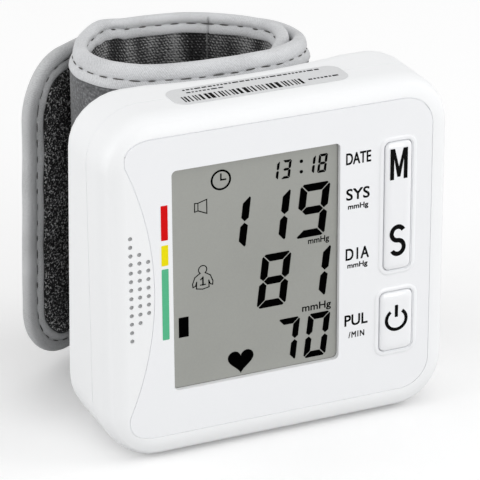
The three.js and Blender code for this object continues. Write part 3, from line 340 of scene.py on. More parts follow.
white = mouldedPlastic("caseWhite", rgb(247, 248, 249), 0.46)
plateWhite = mouldedPlastic("plateWhite", rgb(246, 247, 249), 0.3)
keyGloss = mouldedPlastic("keyGloss", rgb(246, 247, 249), 0.14, 400.0, 0.6)
innerBlack = mouldedPlastic("innerBlack", rgb(34, 35, 37), 0.5)
innerWhite = mouldedPlastic("innerWhite", rgb(222, 223, 224), 0.5)
screenGrey = mouldedPlastic("screenGrey", rgb(168, 169, 170), 0.7, 2400.0)
clearSheet = mouldedPlastic("clearSheet", rgb(214, 217, 219), 0.4)
steel = plainFinish("platedSteel", 0.32, 300.0, twoTone(rgb(190, 193, 198), 0.8), (0.256, 0.416),
                    inputs={"Metallic": 1.0}, scale=(1, 1, 12))
darkRubber = rubber("darkRubber", rgb(52, 52, 54))
paleRubber = rubber("paleRubber", rgb(186, 189, 192))
laminate = boardLaminate()
sleeve = plainFinish("cellSleeve", 0.32, 120.0, ((0.3, rgb(52, 88, 132)), (0.7, rgb(70, 112, 165))), (0.25, 0.4))
pane = plainFinish("clearPane", 0.06, 40.0, ((0.3, rgb(232, 236, 236)), (0.7, rgb(245, 247, 247))), (0.04, 0.1),
                   inputs={"Alpha": 0.0015, "Specular IOR Level": 0.15, "IOR": 1.49})
crystal = liquidCrystal()
tapeFinish = twillTape("twillTape", rgb(176, 177, 178), rgb(210, 211, 213), rgb(230, 231, 232))
# the tail's tape is the same twill tape with darker colours: painted shade for its side that faces away from the
# lamps
shadedTailTapeFinish = twillTape("shadedTailTape", rgb(160, 161, 162), rgb(198, 199, 200), rgb(220, 221, 222))
clothFinish = brushedCloth()
liningFinish = knitLining()
hookFinish = plainFinish("hookPile", 0.85, 2300.0, (
    (0.43, rgb(8, 8, 9)), (0.54, rgb(46, 46, 47)), (0.63, rgb(220, 220, 220))), None, (0.0002, 0.6))
threadFinish = threadSpun("greyThread", rgb(78, 77, 74))
seamFinish = threadSpun("paleThread", rgb(150, 150, 150))
blackInk = printedInk("blackInk", rgb(7, 7, 7), 0.7)
segmentInk = printedInk("segmentInk", rgb(2, 2, 2), 0.8, 0.0)
redInk = printedInk("redInk", rgb(216, 18, 20))
yellowInk = printedInk("yellowInk", rgb(240, 226, 20))
greenInk = printedInk("greenInk", rgb(92, 187, 142))
stickerPaper = printedInk("stickerPaper", rgb(220, 221, 222), 0.5)

nodeFinish = [
    (white, "front_shell rear_shell battery_door"),
    (plateWhite, "face_plate"),
    (keyGloss, "memory_set_key power_key"),
    (innerWhite, "lcd_holder air_manifold cuff_inlet cuff_stud_1 cuff_stud_2"),
    (pane, "display_window"),
    (crystal, "lcd_panel"),
    (steel, "case_screw_1 case_screw_2 case_screw_3 case_screw_4 board_screw_1 board_screw_2 board_screw_3 "
            "speaker_magnet contact_bridge contact_plus contact_minus contact_spring_outer contact_spring_inner "
            "pump_motor pump_rotor valve_plunger"),
    (innerBlack, "memory_switch set_switch power_switch speaker_frame pump_head exhaust_valve pressure_sensor"),
    (darkRubber, "speaker_cone pump_diaphragm cuff_bladder"),
    (paleRubber, "zebra_strip_1 zebra_strip_2 pump_hose valve_hose sensor_hose cuff_hose"),
    (laminate, "main_board"),
    (sleeve, "battery_cell_outer battery_cell_inner"),
    (clearSheet, "cuff_stiffener"),
]
for mat, names in nodeFinish:
    for name in names.split():
        nodes[name].data.materials.clear()
        nodes[name].data.materials.append(mat)
print("materials ready:", len(bpy.data.materials))


def softShade(mesh):
    mesh.polygons.foreach_set("use_smooth", [True] * len(mesh.polygons))


def addMesh(name, verts, faces, mat, uvs=None, smooth=True):
    mesh = bpy.data.meshes.new(name)
    mesh.from_pydata(verts, [], faces)
    if uvs is not None:
        layer = mesh.uv_layers.new(name="flat")
        for loop in mesh.loops:
            layer.data[loop.index].uv = uvs[loop.vertex_index]
    mesh.materials.append(mat)
    if smooth:
        softShade(mesh)
    mesh.update()
    return addPiece(name, mesh)


def bakeModifiers(piece):
    graph = bpy.context.evaluated_depsgraph_get()
    done = bpy.data.meshes.new_from_object(piece.evaluated_get(graph), depsgraph=graph)
    old = piece.data
    piece.modifiers.clear()
    piece.data = done
    bpy.data.meshes.remove(old)
    return piece


solidWeld, fineWeld = 2e-6, 1e-7  # metres within which corners are merged


def mend(mesh, weld=0.0, turnOut=True, cutCaps=False):
    form = bmesh.new()
    form.from_mesh(mesh)
    if weld:
        bmesh.ops.remove_doubles(form, verts=form.verts, dist=weld)
    if cutCaps:
        bmesh.ops.triangulate(form, faces=[face for face in form.faces if len(face.verts) > 4])
    if turnOut:
        bmesh.ops.recalc_face_normals(form, faces=form.faces)
    form.to_mesh(mesh)
    form.free()


def mergedCopy(nodeName, mat):
    mesh = nodes[nodeName].data.copy()
    mend(mesh, solidWeld, False)
    mesh.materials.clear()
    mesh.materials.append(mat)
    softShade(mesh)
    return mesh


flatAngle, evenWeight = 0.4, 80


def smoothCopy(nodeName, pieceName, mat, angle):
    mesh = mergedCopy(nodeName, mat)  # soft shading on its rounded edges, flat faces kept flat
    form = bmesh.new()
    form.from_mesh(mesh)
    bmesh.ops.dissolve_limit(form, angle_limit=math.radians(flatAngle), verts=form.verts, edges=form.edges)
    form.to_mesh(mesh)
    form.free()
    mesh.set_sharp_from_angle(angle=math.radians(angle))
    piece = addPiece(pieceName, mesh)
    even = piece.modifiers.new("even", "WEIGHTED_NORMAL")
    even.keep_sharp = True
    even.weight = evenWeight
    return bakeModifiers(piece)


def finishPiece(piece, body, slot, *replaced):
    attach(piece, body)
    if replaced:
        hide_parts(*replaced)
    return piece


caseCopies = [  # node, piece, finish, soft angle, body, slot
    ("rear_shell", "rearShell", white, 32, "monitor", "white_plastic"),
    ("face_plate", "facePlate", plateWhite, 30, "monitor", "white_plastic"),
    ("battery_door", "batteryDoor", white, 32, "door", "white_plastic"),
    ("memory_set_key", "memorySetKey", keyGloss, 40, "rocker_key", "key_plastic"),
    ("power_key", "powerKey", keyGloss, 40, "power_button", "key_plastic"),
]
casePieces = {}
for nodeName, pieceName, mat, angle, body, slot in caseCopies:
    casePieces[nodeName] = finishPiece(smoothCopy(nodeName, pieceName, mat, angle), body, slot, nodeName)

caseForm = {"right": 36.0, "height": 70.5, "corner": 10.5, "margin": 4.3, "ridge": 1.5, "ridgeDepth": 0.7,
            "edge": 5.0, "turn": 12.0, "agree": 0.85}


def crownNormal(point):
    form = caseForm  # the front's true slope: flat, a low dome to the ridge, then a quarter round to the side
    x, y, z = point.x / mm, (point.y - faceDepth) / mm, point.z / mm
    core = Vector((min(max(x, form["corner"] - form["right"]), form["right"] - form["corner"]),
                   min(max(z, form["corner"]), form["height"] - form["corner"])))
    out = Vector((x, z)) - core
    inset = form["corner"] - out.length
    if inset >= form["margin"]:
        return Vector((0, -1, 0))
    side = out.normalized()
    if y >= form["edge"] - 0.001:
        return Vector((side.x, 0, side.y))
    if inset > form["ridge"]:
        slope = 2 * form["ridgeDepth"] * (form["margin"] - inset) / (form["margin"] - form["ridge"]) ** 2
        return Vector((side.x * slope, -1, side.y * slope)).normalized()
    width = form["ridge"] / (1 - math.sin(math.radians(form["turn"])))
    depth = (form["edge"] - form["ridgeDepth"]) / math.cos(math.radians(form["turn"]))
    lean = (1 - inset / width) / width
    return Vector((side.x * lean, (y - form["edge"]) / depth ** 2, side.y * lean)).normalized()


def addFrontShell():
    mesh = mergedCopy("front_shell", white)
    normals = [None] * len(mesh.loops)
    for face in mesh.polygons:
        for loop in face.loop_indices:
            normal = crownNormal(mesh.vertices[mesh.loops[loop].vertex_index].co)
            normals[loop] = normal if normal.dot(face.normal) > caseForm["agree"] else face.normal.copy()
    mesh.normals_split_custom_set(normals)
    finishPiece(addPiece("frontShell", mesh), "monitor", "white_plastic", "front_shell")


addFrontShell()


def at(x, depth, z):
    return (x * mm, faceDepth + depth * mm, z * mm)  # millimetres behind the face plate's front


def roundedRing(left, right, bottom, top, radius, steps=5):
    ring = []
    corners = [(right - radius, bottom + radius, -90), (right - radius, top - radius, 0),
               (left + radius, top - radius, 90), (left + radius, bottom + radius, 180)]
    for x, z, start in corners:
        for i in range(steps + 1):
            angle = math.radians(start + 90 * i / steps)
            ring.append((x + radius * math.cos(angle), z + radius * math.sin(angle)))
    return ring


def insetRing(limits, inset, radius, steps=5):
    left, right, bottom, top = limits
    return roundedRing(left + inset, right - inset, bottom + inset, top - inset, radius, steps)


def stripFaces(rows, count, flip=False):
    faces = []
    for row in range(rows - 1):
        for i in range(count):
            a, b = row * count + i, row * count + (i + 1) % count
            faces.append([b, a, a + count, b + count] if flip else [a, b, b + count, a + count])
    return faces


gaskets = {  # pale fillers that stand just under the surface in the case's fine gaps, with front and back depths
    "plateGap": 0.19, "plate": (0.17, 0.4), "plateTop": (0.29, 0.5), "topDrop": 3.6,
    "seamInset": (0.03, 0.8), "seam": (8.87, 9.13), "seamSteps": 14,
    "keyGap": 0.2, "key": (-0.06, 0.6), "keyCorner": 1.5,
    "keys": ((21.25, 27.65, 30.9, 58.4), (20.6, 28.3, 13.5, 26.8)),  # left, right, bottom, top
}
keyPads = {  # inset and depth of a pad's soft rim, from inside the plate's opening to its flat top
    "rim": [(0.08, 0.4), (0.08, -0.12), (0.12, -0.24), (0.2, -0.37), (0.45, -0.5), (0.75, -0.6), (1.05, -0.66),
            (1.35, -0.69), (1.6, -0.7), (1.8, -0.7)],
    "fit": 0.3, "corner": 1.2, "spare": 0.1, "steps": 7, "under": 0.3,
    "pads": (("memory_set_key", "memorySetPad", "rocker_key"), ("power_key", "powerPad", "power_button")),
}


def addKeyPads(sizes):
    rim = sizes["rim"]
    for (node, name, body), limits in zip(sizes["pads"], gaskets["keys"]):
        for vert in casePieces[node].data.vertices:  # the solid's own cap stays under the soft pad
            vert.co.y = max(vert.co.y, faceDepth + sizes["under"] * mm)
        verts = []
        for inset, depth in rim:
            edge = sizes["fit"] + inset
            corner = min(sizes["corner"], (limits[1] - limits[0]) / 2 - edge - sizes["spare"])
            verts += [at(x, depth, z) for x, z in insetRing(limits, edge, corner, sizes["steps"])]
        count = len(verts) // len(rim)
        faces = stripFaces(len(rim), count) + [list(range(len(verts) - count, len(verts)))]
        finishPiece(addMesh(name, verts, faces, keyGloss), body, "key_plastic")


addKeyPads(keyPads)


def plateRims():
    form = bmesh.new()  # the plate's outer edge as short runs, each end with its way out
    form.from_mesh(nodes["face_plate"].data)
    bmesh.ops.remove_doubles(form, verts=form.verts, dist=solidWeld)
    form.normal_update()
    low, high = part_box("lcd_panel")
    middle = (low + high) / 2
    ways, runs = {}, []
    for edge in form.edges:
        front = [face for face in edge.link_faces if face.normal.y < -0.99]
        sides = [face for face in edge.link_faces if abs(face.normal.y) < 0.1]
        here = (edge.verts[0].co + edge.verts[1].co) / 2
        if front and sides and abs(here.y - faceDepth) < 1e-5 and sides[0].normal.dot(here - middle) > 0:
            ends = [(vert.co.x / mm, vert.co.z / mm) for vert in edge.verts]
            runs.append(ends)
            for end in ends:
                ways.setdefault(end, []).append(sides[0].normal)
    form.free()
    outer = {}
    for spot, normals in ways.items():
        way = sum(normals, Vector()).normalized() * gaskets["plateGap"]
        outer[spot] = (spot[0] + way.x, spot[1] + way.z)
    return [(a, b, outer[a], outer[b]) for a, b in runs]


def gasketBand(verts, faces, runs, front, back):
    for a, b, outerA, outerB in runs:
        base = len(verts)
        verts += [at(x, depth, z) for x, z in (a, outerA, b, outerB) for depth in (front, back)]
        faces += [[base + i for i in quad] for quad in ((0, 2, 6, 4), (1, 5, 7, 3), (2, 3, 7, 6), (0, 4, 5, 1))]


def ringRuns(inner, outer):
    count = len(inner)
    return [(inner[i], inner[(i + 1) % count], outer[i], outer[(i + 1) % count]) for i in range(count)]


def addGaskets(sizes):
    verts, faces = [], []
    plateRuns = plateRims()
    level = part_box("face_plate")[1].z / mm - sizes["topDrop"]
    upper = [run for run in plateRuns if min(run[0][1], run[1][1]) > level]  # lit from above, so sunk deeper
    gasketBand(verts, faces, upper, *sizes["plateTop"])
    gasketBand(verts, faces, [run for run in plateRuns if run not in upper], *sizes["plate"])
    limits = (-caseForm["right"], caseForm["right"], 0, caseForm["height"])
    near, far = (insetRing(limits, inset, caseForm["corner"] - inset, sizes["seamSteps"])
                 for inset in sizes["seamInset"])
    gasketBand(verts, faces, ringRuns(far, near), *sizes["seam"])
    for limits in sizes["keys"]:
        inner = insetRing(limits, sizes["keyGap"], sizes["keyCorner"] - sizes["keyGap"])
        gasketBand(verts, faces, ringRuns(inner, roundedRing(*limits, sizes["keyCorner"])), *sizes["key"])
    piece = addMesh("caseGaskets", verts, faces, plateWhite, smooth=False)
    mend(piece.data, fineWeld)
    finishPiece(piece, "monitor", "white_plastic")


addGaskets(gaskets)
print("case pieces ready")


def nodeTree(name, sockets):
    tree = bpy.data.node_groups.new(name, "GeometryNodeTree")
    tree.interface.new_socket("Geometry", in_out="INPUT", socket_type="NodeSocketGeometry")
    names = {}
    for label, kind in sockets.items():
        names[label] = tree.interface.new_socket(label, in_out="INPUT", socket_type="NodeSocket" + kind).identifier
    tree.interface.new_socket("Geometry", in_out="OUTPUT", socket_type="NodeSocketGeometry")
    return tree, names, addNode(tree, "NodeGroupInput").outputs


def finishTree(tree, lay, mat):
    real = addNode(tree, "GeometryNodeRealizeInstances", {"Geometry": lay.outputs["Instances"]})
    smooth = addNode(tree, "GeometryNodeSetShadeSmooth", {"Geometry": real.outputs["Geometry"]})
    paint = addNode(tree, "GeometryNodeSetMaterial", {"Geometry": smooth.outputs["Geometry"], "Material": mat})
    addNode(tree, "NodeGroupOutput", {"Geometry": paint.outputs["Geometry"]})


def growNodes(name, verts, edges, faces, tree, sockets, values):
    mesh = bpy.data.meshes.new(name)
    mesh.from_pydata(verts, edges, faces)
    piece = addPiece(name, mesh)
    modifier = piece.modifiers.new("nodes", "NODES")
    modifier.node_group = tree
    for label, value in values.items():
        modifier[sockets[label]] = value
    return bakeModifiers(piece)


def repeatTree():
    tree, sockets, start = nodeTree("repeatOnPoints", {"Dish": "Object", "Finish": "Material"})
    shape = addNode(tree, "GeometryNodeObjectInfo", {"Object": start["Dish"]})
    spots = {"Points": start["Geometry"], "Instance": shape.outputs["Geometry"]}
    finishTree(tree, addNode(tree, "GeometryNodeInstanceOnPoints", spots), start["Finish"])
    return tree, sockets


grille = {  # pale dust screen seen at the bottom of each sound hole
    "left": -31.0, "middle": 36.85, "pitch": 1.76, "columns": (13, 9, 7), "turns": 12,
    "dish": ((0.02, 0.42), (0.2, 0.39), (0.34, 0.3), (0.42, 0.18), (0.44, 0.18), (0.44, 0.9), (0.02, 0.9)),
}


def addGrilleScreen(sizes):
    turns = sizes["turns"]
    angles = [2 * math.pi * i / turns for i in range(turns)]
    verts = []
    for radius, depth in sizes["dish"]:
        verts += [(radius * math.cos(angle) * mm, depth * mm, radius * math.sin(angle) * mm) for angle in angles]
    faces = stripFaces(len(sizes["dish"]), turns)
    faces += [list(reversed(range(turns))), list(range(len(verts) - turns, len(verts)))]
    dish = addMesh("dishShape", verts, faces, screenGrey)
    mend(dish.data)
    spots = []
    for column, count in enumerate(sizes["columns"]):
        for row in range(count):
            z = sizes["middle"] + (row - (count - 1) / 2) * sizes["pitch"]
            spots.append(at(sizes["left"] + column * sizes["pitch"], 0, z))
    tree, sockets = repeatTree()
    piece = growNodes("grilleScreen", spots, [], [], tree, sockets, {"Dish": dish, "Finish": screenGrey})
    bpy.data.objects.remove(dish)
    finishPiece(piece, "monitor", "white_plastic")


addGrilleScreen(grille)
print("grille ready")

inkThick = 0.02


def flatPatch(name, outlines, depth, mat, thick=inkThick):
    verts, faces = [], []  # each outline is a closed ring of (x, z), given a thin body in front of the face
    for ring in outlines:
        base, count = len(verts), len(ring)
        verts += [at(x, level, z) for level in (depth - thick, depth) for x, z in ring]
        faces.append([base + i for i in range(count)])
        faces.append([base + count + i for i in reversed(range(count))])
        for i in range(count):
            j = (i + 1) % count
            faces.append([base + i, base + count + i, base + count + j, base + j])
    piece = addMesh(name, verts, faces, mat, smooth=False)
    mend(piece.data)
    return piece


def arcBand(x, z, radius, width, start, end, steps=24):
    outer, inner = [], []
    for i in range(steps + 1):
        angle = math.radians(start + (end - start) * i / steps)
        for edge, reach in ((outer, radius + width / 2), (inner, radius - width / 2)):
            edge.append((x + reach * math.cos(angle), z + reach * math.sin(angle)))
    return [[outer[i], outer[i + 1], inner[i + 1], inner[i]] for i in range(steps)]


def strokeRing(x, z, nextX, nextZ, width):
    along = Vector((nextX - x, nextZ - z)).normalized()
    side = Vector((-along.y, along.x)) * width / 2
    along *= width / 2
    return [(x - along.x - side.x, z - along.y - side.y), (nextX + along.x - side.x, nextZ + along.y - side.y),
            (nextX + along.x + side.x, nextZ + along.y + side.y), (x - along.x + side.x, z - along.y + side.y)]


def moveVerts(form, made, vec):
    bmesh.ops.translate(form, verts=[item for item in made if isinstance(item, bmesh.types.BMVert)], vec=vec)


def textPatch(name, words, box, depth, mat, spacing, bold):
    data = bpy.data.curves.new(name, "FONT")  # fitted into box = left, right, bottom, top
    data.body = words
    data.space_character = spacing
    data.resolution_u = 4
    letters = addPiece(name, data)
    bpy.context.view_layer.update()
    graph = bpy.context.evaluated_depsgraph_get()
    mesh = bpy.data.meshes.new_from_object(letters.evaluated_get(graph), depsgraph=graph)
    bpy.data.objects.remove(letters)
    xs, ys = ([vert.co[axis] for vert in mesh.vertices] for axis in (0, 1))
    left, right, bottom, top = box
    scaleX = (right - left) / (max(xs) - min(xs))
    scaleZ = (top - bottom) / (max(ys) - min(ys))
    for vert, x, y in zip(mesh.vertices, xs, ys):
        vert.co = at(left + (x - min(xs)) * scaleX, depth, bottom + (y - min(ys)) * scaleZ)
    mesh.materials.clear()
    mesh.materials.append(mat)
    form = bmesh.new()
    form.from_mesh(mesh)
    bmesh.ops.remove_doubles(form, verts=form.verts, dist=fineWeld)
    bmesh.ops.recalc_face_normals(form, faces=form.faces)
    for face in form.faces:
        if face.normal.y > 0:
            face.normal_flip()
    plain = list(form.faces)
    for shift, (x, z) in enumerate(((1, 0), (0, 1), (1, 1))):  # heavier strokes: the letters again, a little aside
        again = bmesh.ops.duplicate(form, geom=plain)["geom"]
        moveVerts(form, again, (x * bold * mm, (shift + 1) * inkThick / 10 * mm, z * bold * mm))
    made = bmesh.ops.extrude_face_region(form, geom=list(form.faces))["geom"]
    moveVerts(form, made, (0, -inkThick * mm, 0))
    bmesh.ops.recalc_face_normals(form, faces=form.faces)
    form.to_mesh(mesh)
    form.free()
    return addPiece(name, mesh)


plateMarks = {
    "bars": [("redBar", redInk, (-24.8, -23.4, 45.9, 53.0)), ("yellowBar", yellowInk, (-24.8, -23.4, 40.7, 44.9)),
             ("greenBar", greenInk, (-24.8, -23.4, 25.3, 40.0))],
    "words": [  # name, words, box, letter spacing, added weight
        ("dateLabel", "DATE", (13.4, 18.6, 54.8, 57.1), 1.0, 0.11),
        ("systolicLabel", "SYS", (13.5, 18.4, 47.4, 49.7), 1.0, 0.1),
        ("systolicUnit", "mmHg", (13.9, 18.15, 45.2, 46.55), 1.0, 0.08),
        ("diastolicLabel", "DIA", (13.5, 18.4, 34.8, 37.2), 1.35, 0.11),
        ("diastolicUnit", "mmHg", (13.9, 18.15, 32.8, 34.15), 1.0, 0.08),
        ("pulseLabel", "PUL", (13.4, 18.3, 20.7, 23.0), 1.0, 0.11),
        ("pulseUnit", "/MIN", (14.3, 17.65, 18.1, 19.35), 1.25, 0.07)],
    "depth": -0.01, "corner": 0.12,
}
for name, mat, limits in plateMarks["bars"]:
    ring = roundedRing(*limits, plateMarks["corner"], 2)
    finishPiece(flatPatch(name, [ring], plateMarks["depth"], mat), "monitor", "white_plastic")
for name, words, box, spacing, bold in plateMarks["words"]:
    label = textPatch(name, words, box, plateMarks["depth"], blackInk, spacing, bold)
    finishPiece(label, "monitor", "white_plastic")

keyMarks = {"depth": -0.71, "memory": (22.5, 26.2, 50.4, 56.8), "memoryStroke": 0.82,
            "set": (22.55, 26.15, 34.2, 40.9), "setStroke": 0.95}
powerSign = {"x": 24.35, "z": 20.57, "radius": 2.15, "width": 0.7, "gap": 36, "bar": (21.1, 23.7), "corner": 0.1}


def letterM(left, right, bottom, top, stroke):
    middle, low = (left + right) / 2, bottom + 0.5
    point, notch, slope, shoulder = 0.32, 2.1, 2.6 * stroke, 1.15 * stroke
    return [(left, bottom), (left + stroke, bottom), (left + stroke, top - slope), (middle - point, low),
            (middle + point, low), (right - stroke, top - slope), (right - stroke, bottom), (right, bottom),
            (right, top), (right - shoulder, top), (middle, low + notch), (left + shoulder, top), (left, top)]


def letterS(left, right, bottom, top, stroke):
    middle, radius = (left + right) / 2, (top - bottom - stroke) / 4
    squeeze = (right - left - stroke) / 2 / radius
    upper, lower = (28, 270), (90, -152)  # degrees of the two bows
    rings = arcBand(0, bottom + stroke / 2 + 3 * radius, radius, stroke, *upper)
    rings += arcBand(0, bottom + stroke / 2 + radius, radius, stroke, *lower)
    return [[(middle + x * squeeze, z) for x, z in ring] for ring in rings]


def powerRings(sizes):
    x, half = sizes["x"], sizes["width"] / 2
    rings = arcBand(x, sizes["z"], sizes["radius"], sizes["width"], 90 + sizes["gap"], 450 - sizes["gap"])
    return rings + [roundedRing(x - half, x + half, *sizes["bar"], sizes["corner"], 2)]


for name, body, rings in (
        ("memoryMark", "rocker_key", [letterM(*keyMarks["memory"], keyMarks["memoryStroke"])]),
        ("setMark", "rocker_key", letterS(*keyMarks["set"], keyMarks["setStroke"])),
        ("powerSign", "power_button", powerRings(powerSign))):
    finishPiece(flatPatch(name, rings, keyMarks["depth"], blackInk), body, "key_plastic")
print("printed marks ready")

display = {
    "limits": (-22.5, 12.2, 14.1, 59.6), "corner": 1.0,  # the plate's opening
    "gap": 0.06, "stand": 0.01, "thick": 0.05, "clear": 0.005,
    "shift": (-0.73, 0.93),  # the marks were read off at the panel's depth; this brings them to the film's
    "slant": 0.118, "blunt": 0.34, "split": 0.09,
    "readings": [  # digits, left of the first, pitch, bottom, width, height, stroke
        ("119", -12.7, 8.28, 39.9, 6.25, 11.0, 1.55),
        ("81", -4.16, 8.41, 26.65, 6.1, 11.15, 1.55),
        ("70", -0.74, 6.5, 14.15, 4.75, 9.35, 1.3),
        ("13", -1.5, 2.45, 52.85, 1.86, 3.8, 0.52),
        ("18", 6.0, 2.5, 52.85, 1.86, 3.8, 0.52)],
    "colonCorner": 0.3, "colon": ((4.88, 5.58, 53.36, 54.06), (4.88, 5.58, 55.49, 56.19)),
    "units": (("upperUnit", (6.7, 11.1, 38.0, 39.6), 0.06), ("lowerUnit", (5.5, 11.6, 23.75, 25.7), 0.07)),
}
display["film"] = (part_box("display_window")[0].y - faceDepth) / mm - display["stand"]
display["depth"] = display["film"] - display["thick"] - display["clear"]
segmentsOf = {"0": "abcdef", "1": "bc", "3": "abgcd", "7": "abc", "8": "abcdefg", "9": "abcdfg"}


def addDisplayMarks(name, rings):
    acrossBy, upBy = display["shift"]
    moved = [[(x + acrossBy, z + upBy) for x, z in ring] for ring in rings]
    finishPiece(flatPatch(name, moved, display["depth"], segmentInk), "monitor", "lcd")


def addDisplayFilm():
    ring = insetRing(display["limits"], display["gap"], display["corner"] - display["gap"], 6)
    film = flatPatch("displayFilm", [ring], display["film"], crystal, display["thick"])
    finishPiece(film, "monitor", "lcd")


def digitRings(digit, left, bottom, width, height, stroke):
    gap, cut = stroke * display["split"], stroke * display["blunt"]
    middle, half, nip = height / 2, stroke / 2, cut / 2
    bars = {
        "a": [(gap + nip, height - nip), (gap + cut, height), (width - gap - cut, height),
              (width - gap - nip, height - nip), (width - stroke - gap, height - stroke),
              (stroke + gap, height - stroke)],
        "f": [(0, height - gap - cut), (nip, height - gap - nip), (stroke, height - stroke - gap),
              (stroke, middle + half + gap), (half, middle + gap), (0, middle + half)],
        "g": [(half + gap, middle), (stroke + gap, middle + half), (width - stroke - gap, middle + half),
              (width - half - gap, middle), (width - stroke - gap, middle - half), (stroke + gap, middle - half)],
    }
    for made, source in (("d", "a"), ("e", "f")):  # the same bars upside down, then from side to side
        bars[made] = [(x, height - z) for x, z in bars[source]]
    for made, source in (("b", "f"), ("c", "e")):
        bars[made] = [(width - x, z) for x, z in bars[source]]
    return [[(left + x + z * display["slant"], bottom + z) for x, z in bars[key]] for key in segmentsOf[digit]]


def addReading():
    rings = []
    for digits, left, pitch, bottom, width, height, stroke in display["readings"]:
        for i, digit in enumerate(digits):
            rings += digitRings(digit, left + i * pitch, bottom, width, height, stroke)
    rings += [roundedRing(*limits, display["colonCorner"], 4) for limits in display["colon"]]
    addDisplayMarks("reading", rings)
    for name, box, bold in display["units"]:
        box = [side + display["shift"][i // 2] for i, side in enumerate(box)]
        finishPiece(textPatch(name, "mmHg", box, display["depth"], segmentInk, 1.0, bold), "monitor", "lcd")


def heartRing(x, z, width, steps=36):
    ring = []  # the usual heart curve, 32 wide, with its middle at 2.5 below zero
    for i in range(steps):
        t = 2 * math.pi * i / steps
        px = 16 * math.sin(t) ** 3
        pz = 13 * math.cos(t) - 5 * math.cos(2 * t) - 2 * math.cos(3 * t) - math.cos(4 * t)
        ring.append((x + px * width / 32, z + (pz + 2.5) * width / 32))
    return ring


icons = {
    "arcs": ((-11.37, 54.85, 1.9, 0.4, 0, 360, 24), (-15.29, 37.1, 0.85, 0.2, -60, 240, 16)),  # clock, user's head
    "strokes": [  # width, then the points of one line
        (0.3, ((-11.37, 54.85), (-11.37, 56.0))), (0.3, ((-11.37, 54.85), (-10.42, 54.85))),
        (0.2, ((-16.78, 49.2), (-16.1, 49.35), (-14.3, 48.55), (-14.3, 51.4), (-16.1, 50.9), (-16.78, 50.95),
               (-16.78, 49.2))), (0.18, ((-16.1, 49.35), (-16.1, 50.9))),
        (0.2, ((-15.85, 36.4), (-16.9, 35.7), (-17.4, 34.4), (-17.3, 33.7), (-16.8, 33.9), (-16.55, 34.7),
               (-16.6, 33.3), (-15.3, 33.05), (-14.0, 33.3), (-14.05, 34.7), (-13.75, 33.9), (-13.25, 33.7),
               (-13.2, 34.4), (-13.7, 35.7), (-14.75, 36.4))),
        (0.3, ((-15.25, 33.95), (-15.25, 35.5))), (0.22, ((-15.75, 33.95), (-14.75, 33.95))),
        (0.24, ((-15.7, 35.1), (-15.25, 35.5)))],
    "heart": (-7.53, 16.1, 5.45), "block": (-20.35, -18.3, 23.7, 27.9),
}


def addIcons(sizes):
    rings = [ring for arc in sizes["arcs"] for ring in arcBand(*arc)]
    for width, line in sizes["strokes"]:
        rings += [strokeRing(*here, *there, width) for here, there in zip(line, line[1:])]
    addDisplayMarks("displayIcons", rings)
    addDisplayMarks("pulseHeart", [heartRing(*sizes["heart"]), roundedRing(*sizes["block"], 0.05, 1)])


addDisplayFilm()
addReading()
addIcons(icons)
print("display reading ready")

stickerSizes = {
    "limits": (-19.2, 16.8, 4.5, 12.6),  # left, right, front, back
    "corner": 2.6, "level": (0.01, 0.08), "ink": 0.015,
    "bars": (-17.1, 7.8, 5.5, 8.3), "barWidths": (0.28, 0.5, 0.28, 0.75, 0.28, 0.4, 0.6, 0.28), "barGap": 0.28,
    "barSpread": 0.15, "dashStretch": 1.6, "dashGap": 0.3,
    "rows": ((-15.4, 12.8, 11.2, 0.55), (-15.2, -8.6, 9.75, 0.5), (8.7, 14.4, 6.8, 0.6)),
}


def layBox(verts, faces, left, right, front, back, low, high):
    base = len(verts)
    corners = ((left, front), (right, front), (right, back), (left, back))
    verts += [at(x, y, z) for z in (low, high) for x, y in corners]
    faces += [[base + i for i in quad] for quad in
              ((3, 2, 1, 0), (4, 5, 6, 7), (0, 1, 5, 4), (1, 2, 6, 5), (2, 3, 7, 6), (3, 0, 4, 7))]


def addSticker(sizes):
    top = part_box("front_shell")[1].z / mm
    ring = roundedRing(*sizes["limits"], sizes["corner"], 8)
    count = len(ring)
    verts = [at(x, y, top + level) for level in sizes["level"] for x, y in ring]
    faces = [list(reversed(range(count))), list(range(count, 2 * count))]
    faces += [[i, (i + 1) % count, count + (i + 1) % count, count + i] for i in range(count)]
    finishPiece(addMesh("sticker", verts, faces, stickerPaper, smooth=False), "monitor", "white_plastic")
    low = top + sizes["level"][1]
    high = low + sizes["ink"]
    widths = sizes["barWidths"]
    verts, faces = [], []
    x, end, front, back = sizes["bars"]
    step = 0
    while x < end:
        width = widths[step * 5 % len(widths)]
        layBox(verts, faces, x, x + width, front, back, low, high)
        x += width + sizes["barGap"] + sizes["barSpread"] * (step * 7 % 3)
        step += 1
    for x, end, front, depth in sizes["rows"]:  # rows of plain dashes
        while x < end:
            width = widths[step * 3 % len(widths)] * sizes["dashStretch"]
            layBox(verts, faces, x, x + width, front, front + depth, low, high)
            x += width + sizes["dashGap"]
            step += 1
    finishPiece(addMesh("stickerBars", verts, faces, blackInk, smooth=False), "monitor", "white_plastic")


addSticker(stickerSizes)
print("sticker ready")

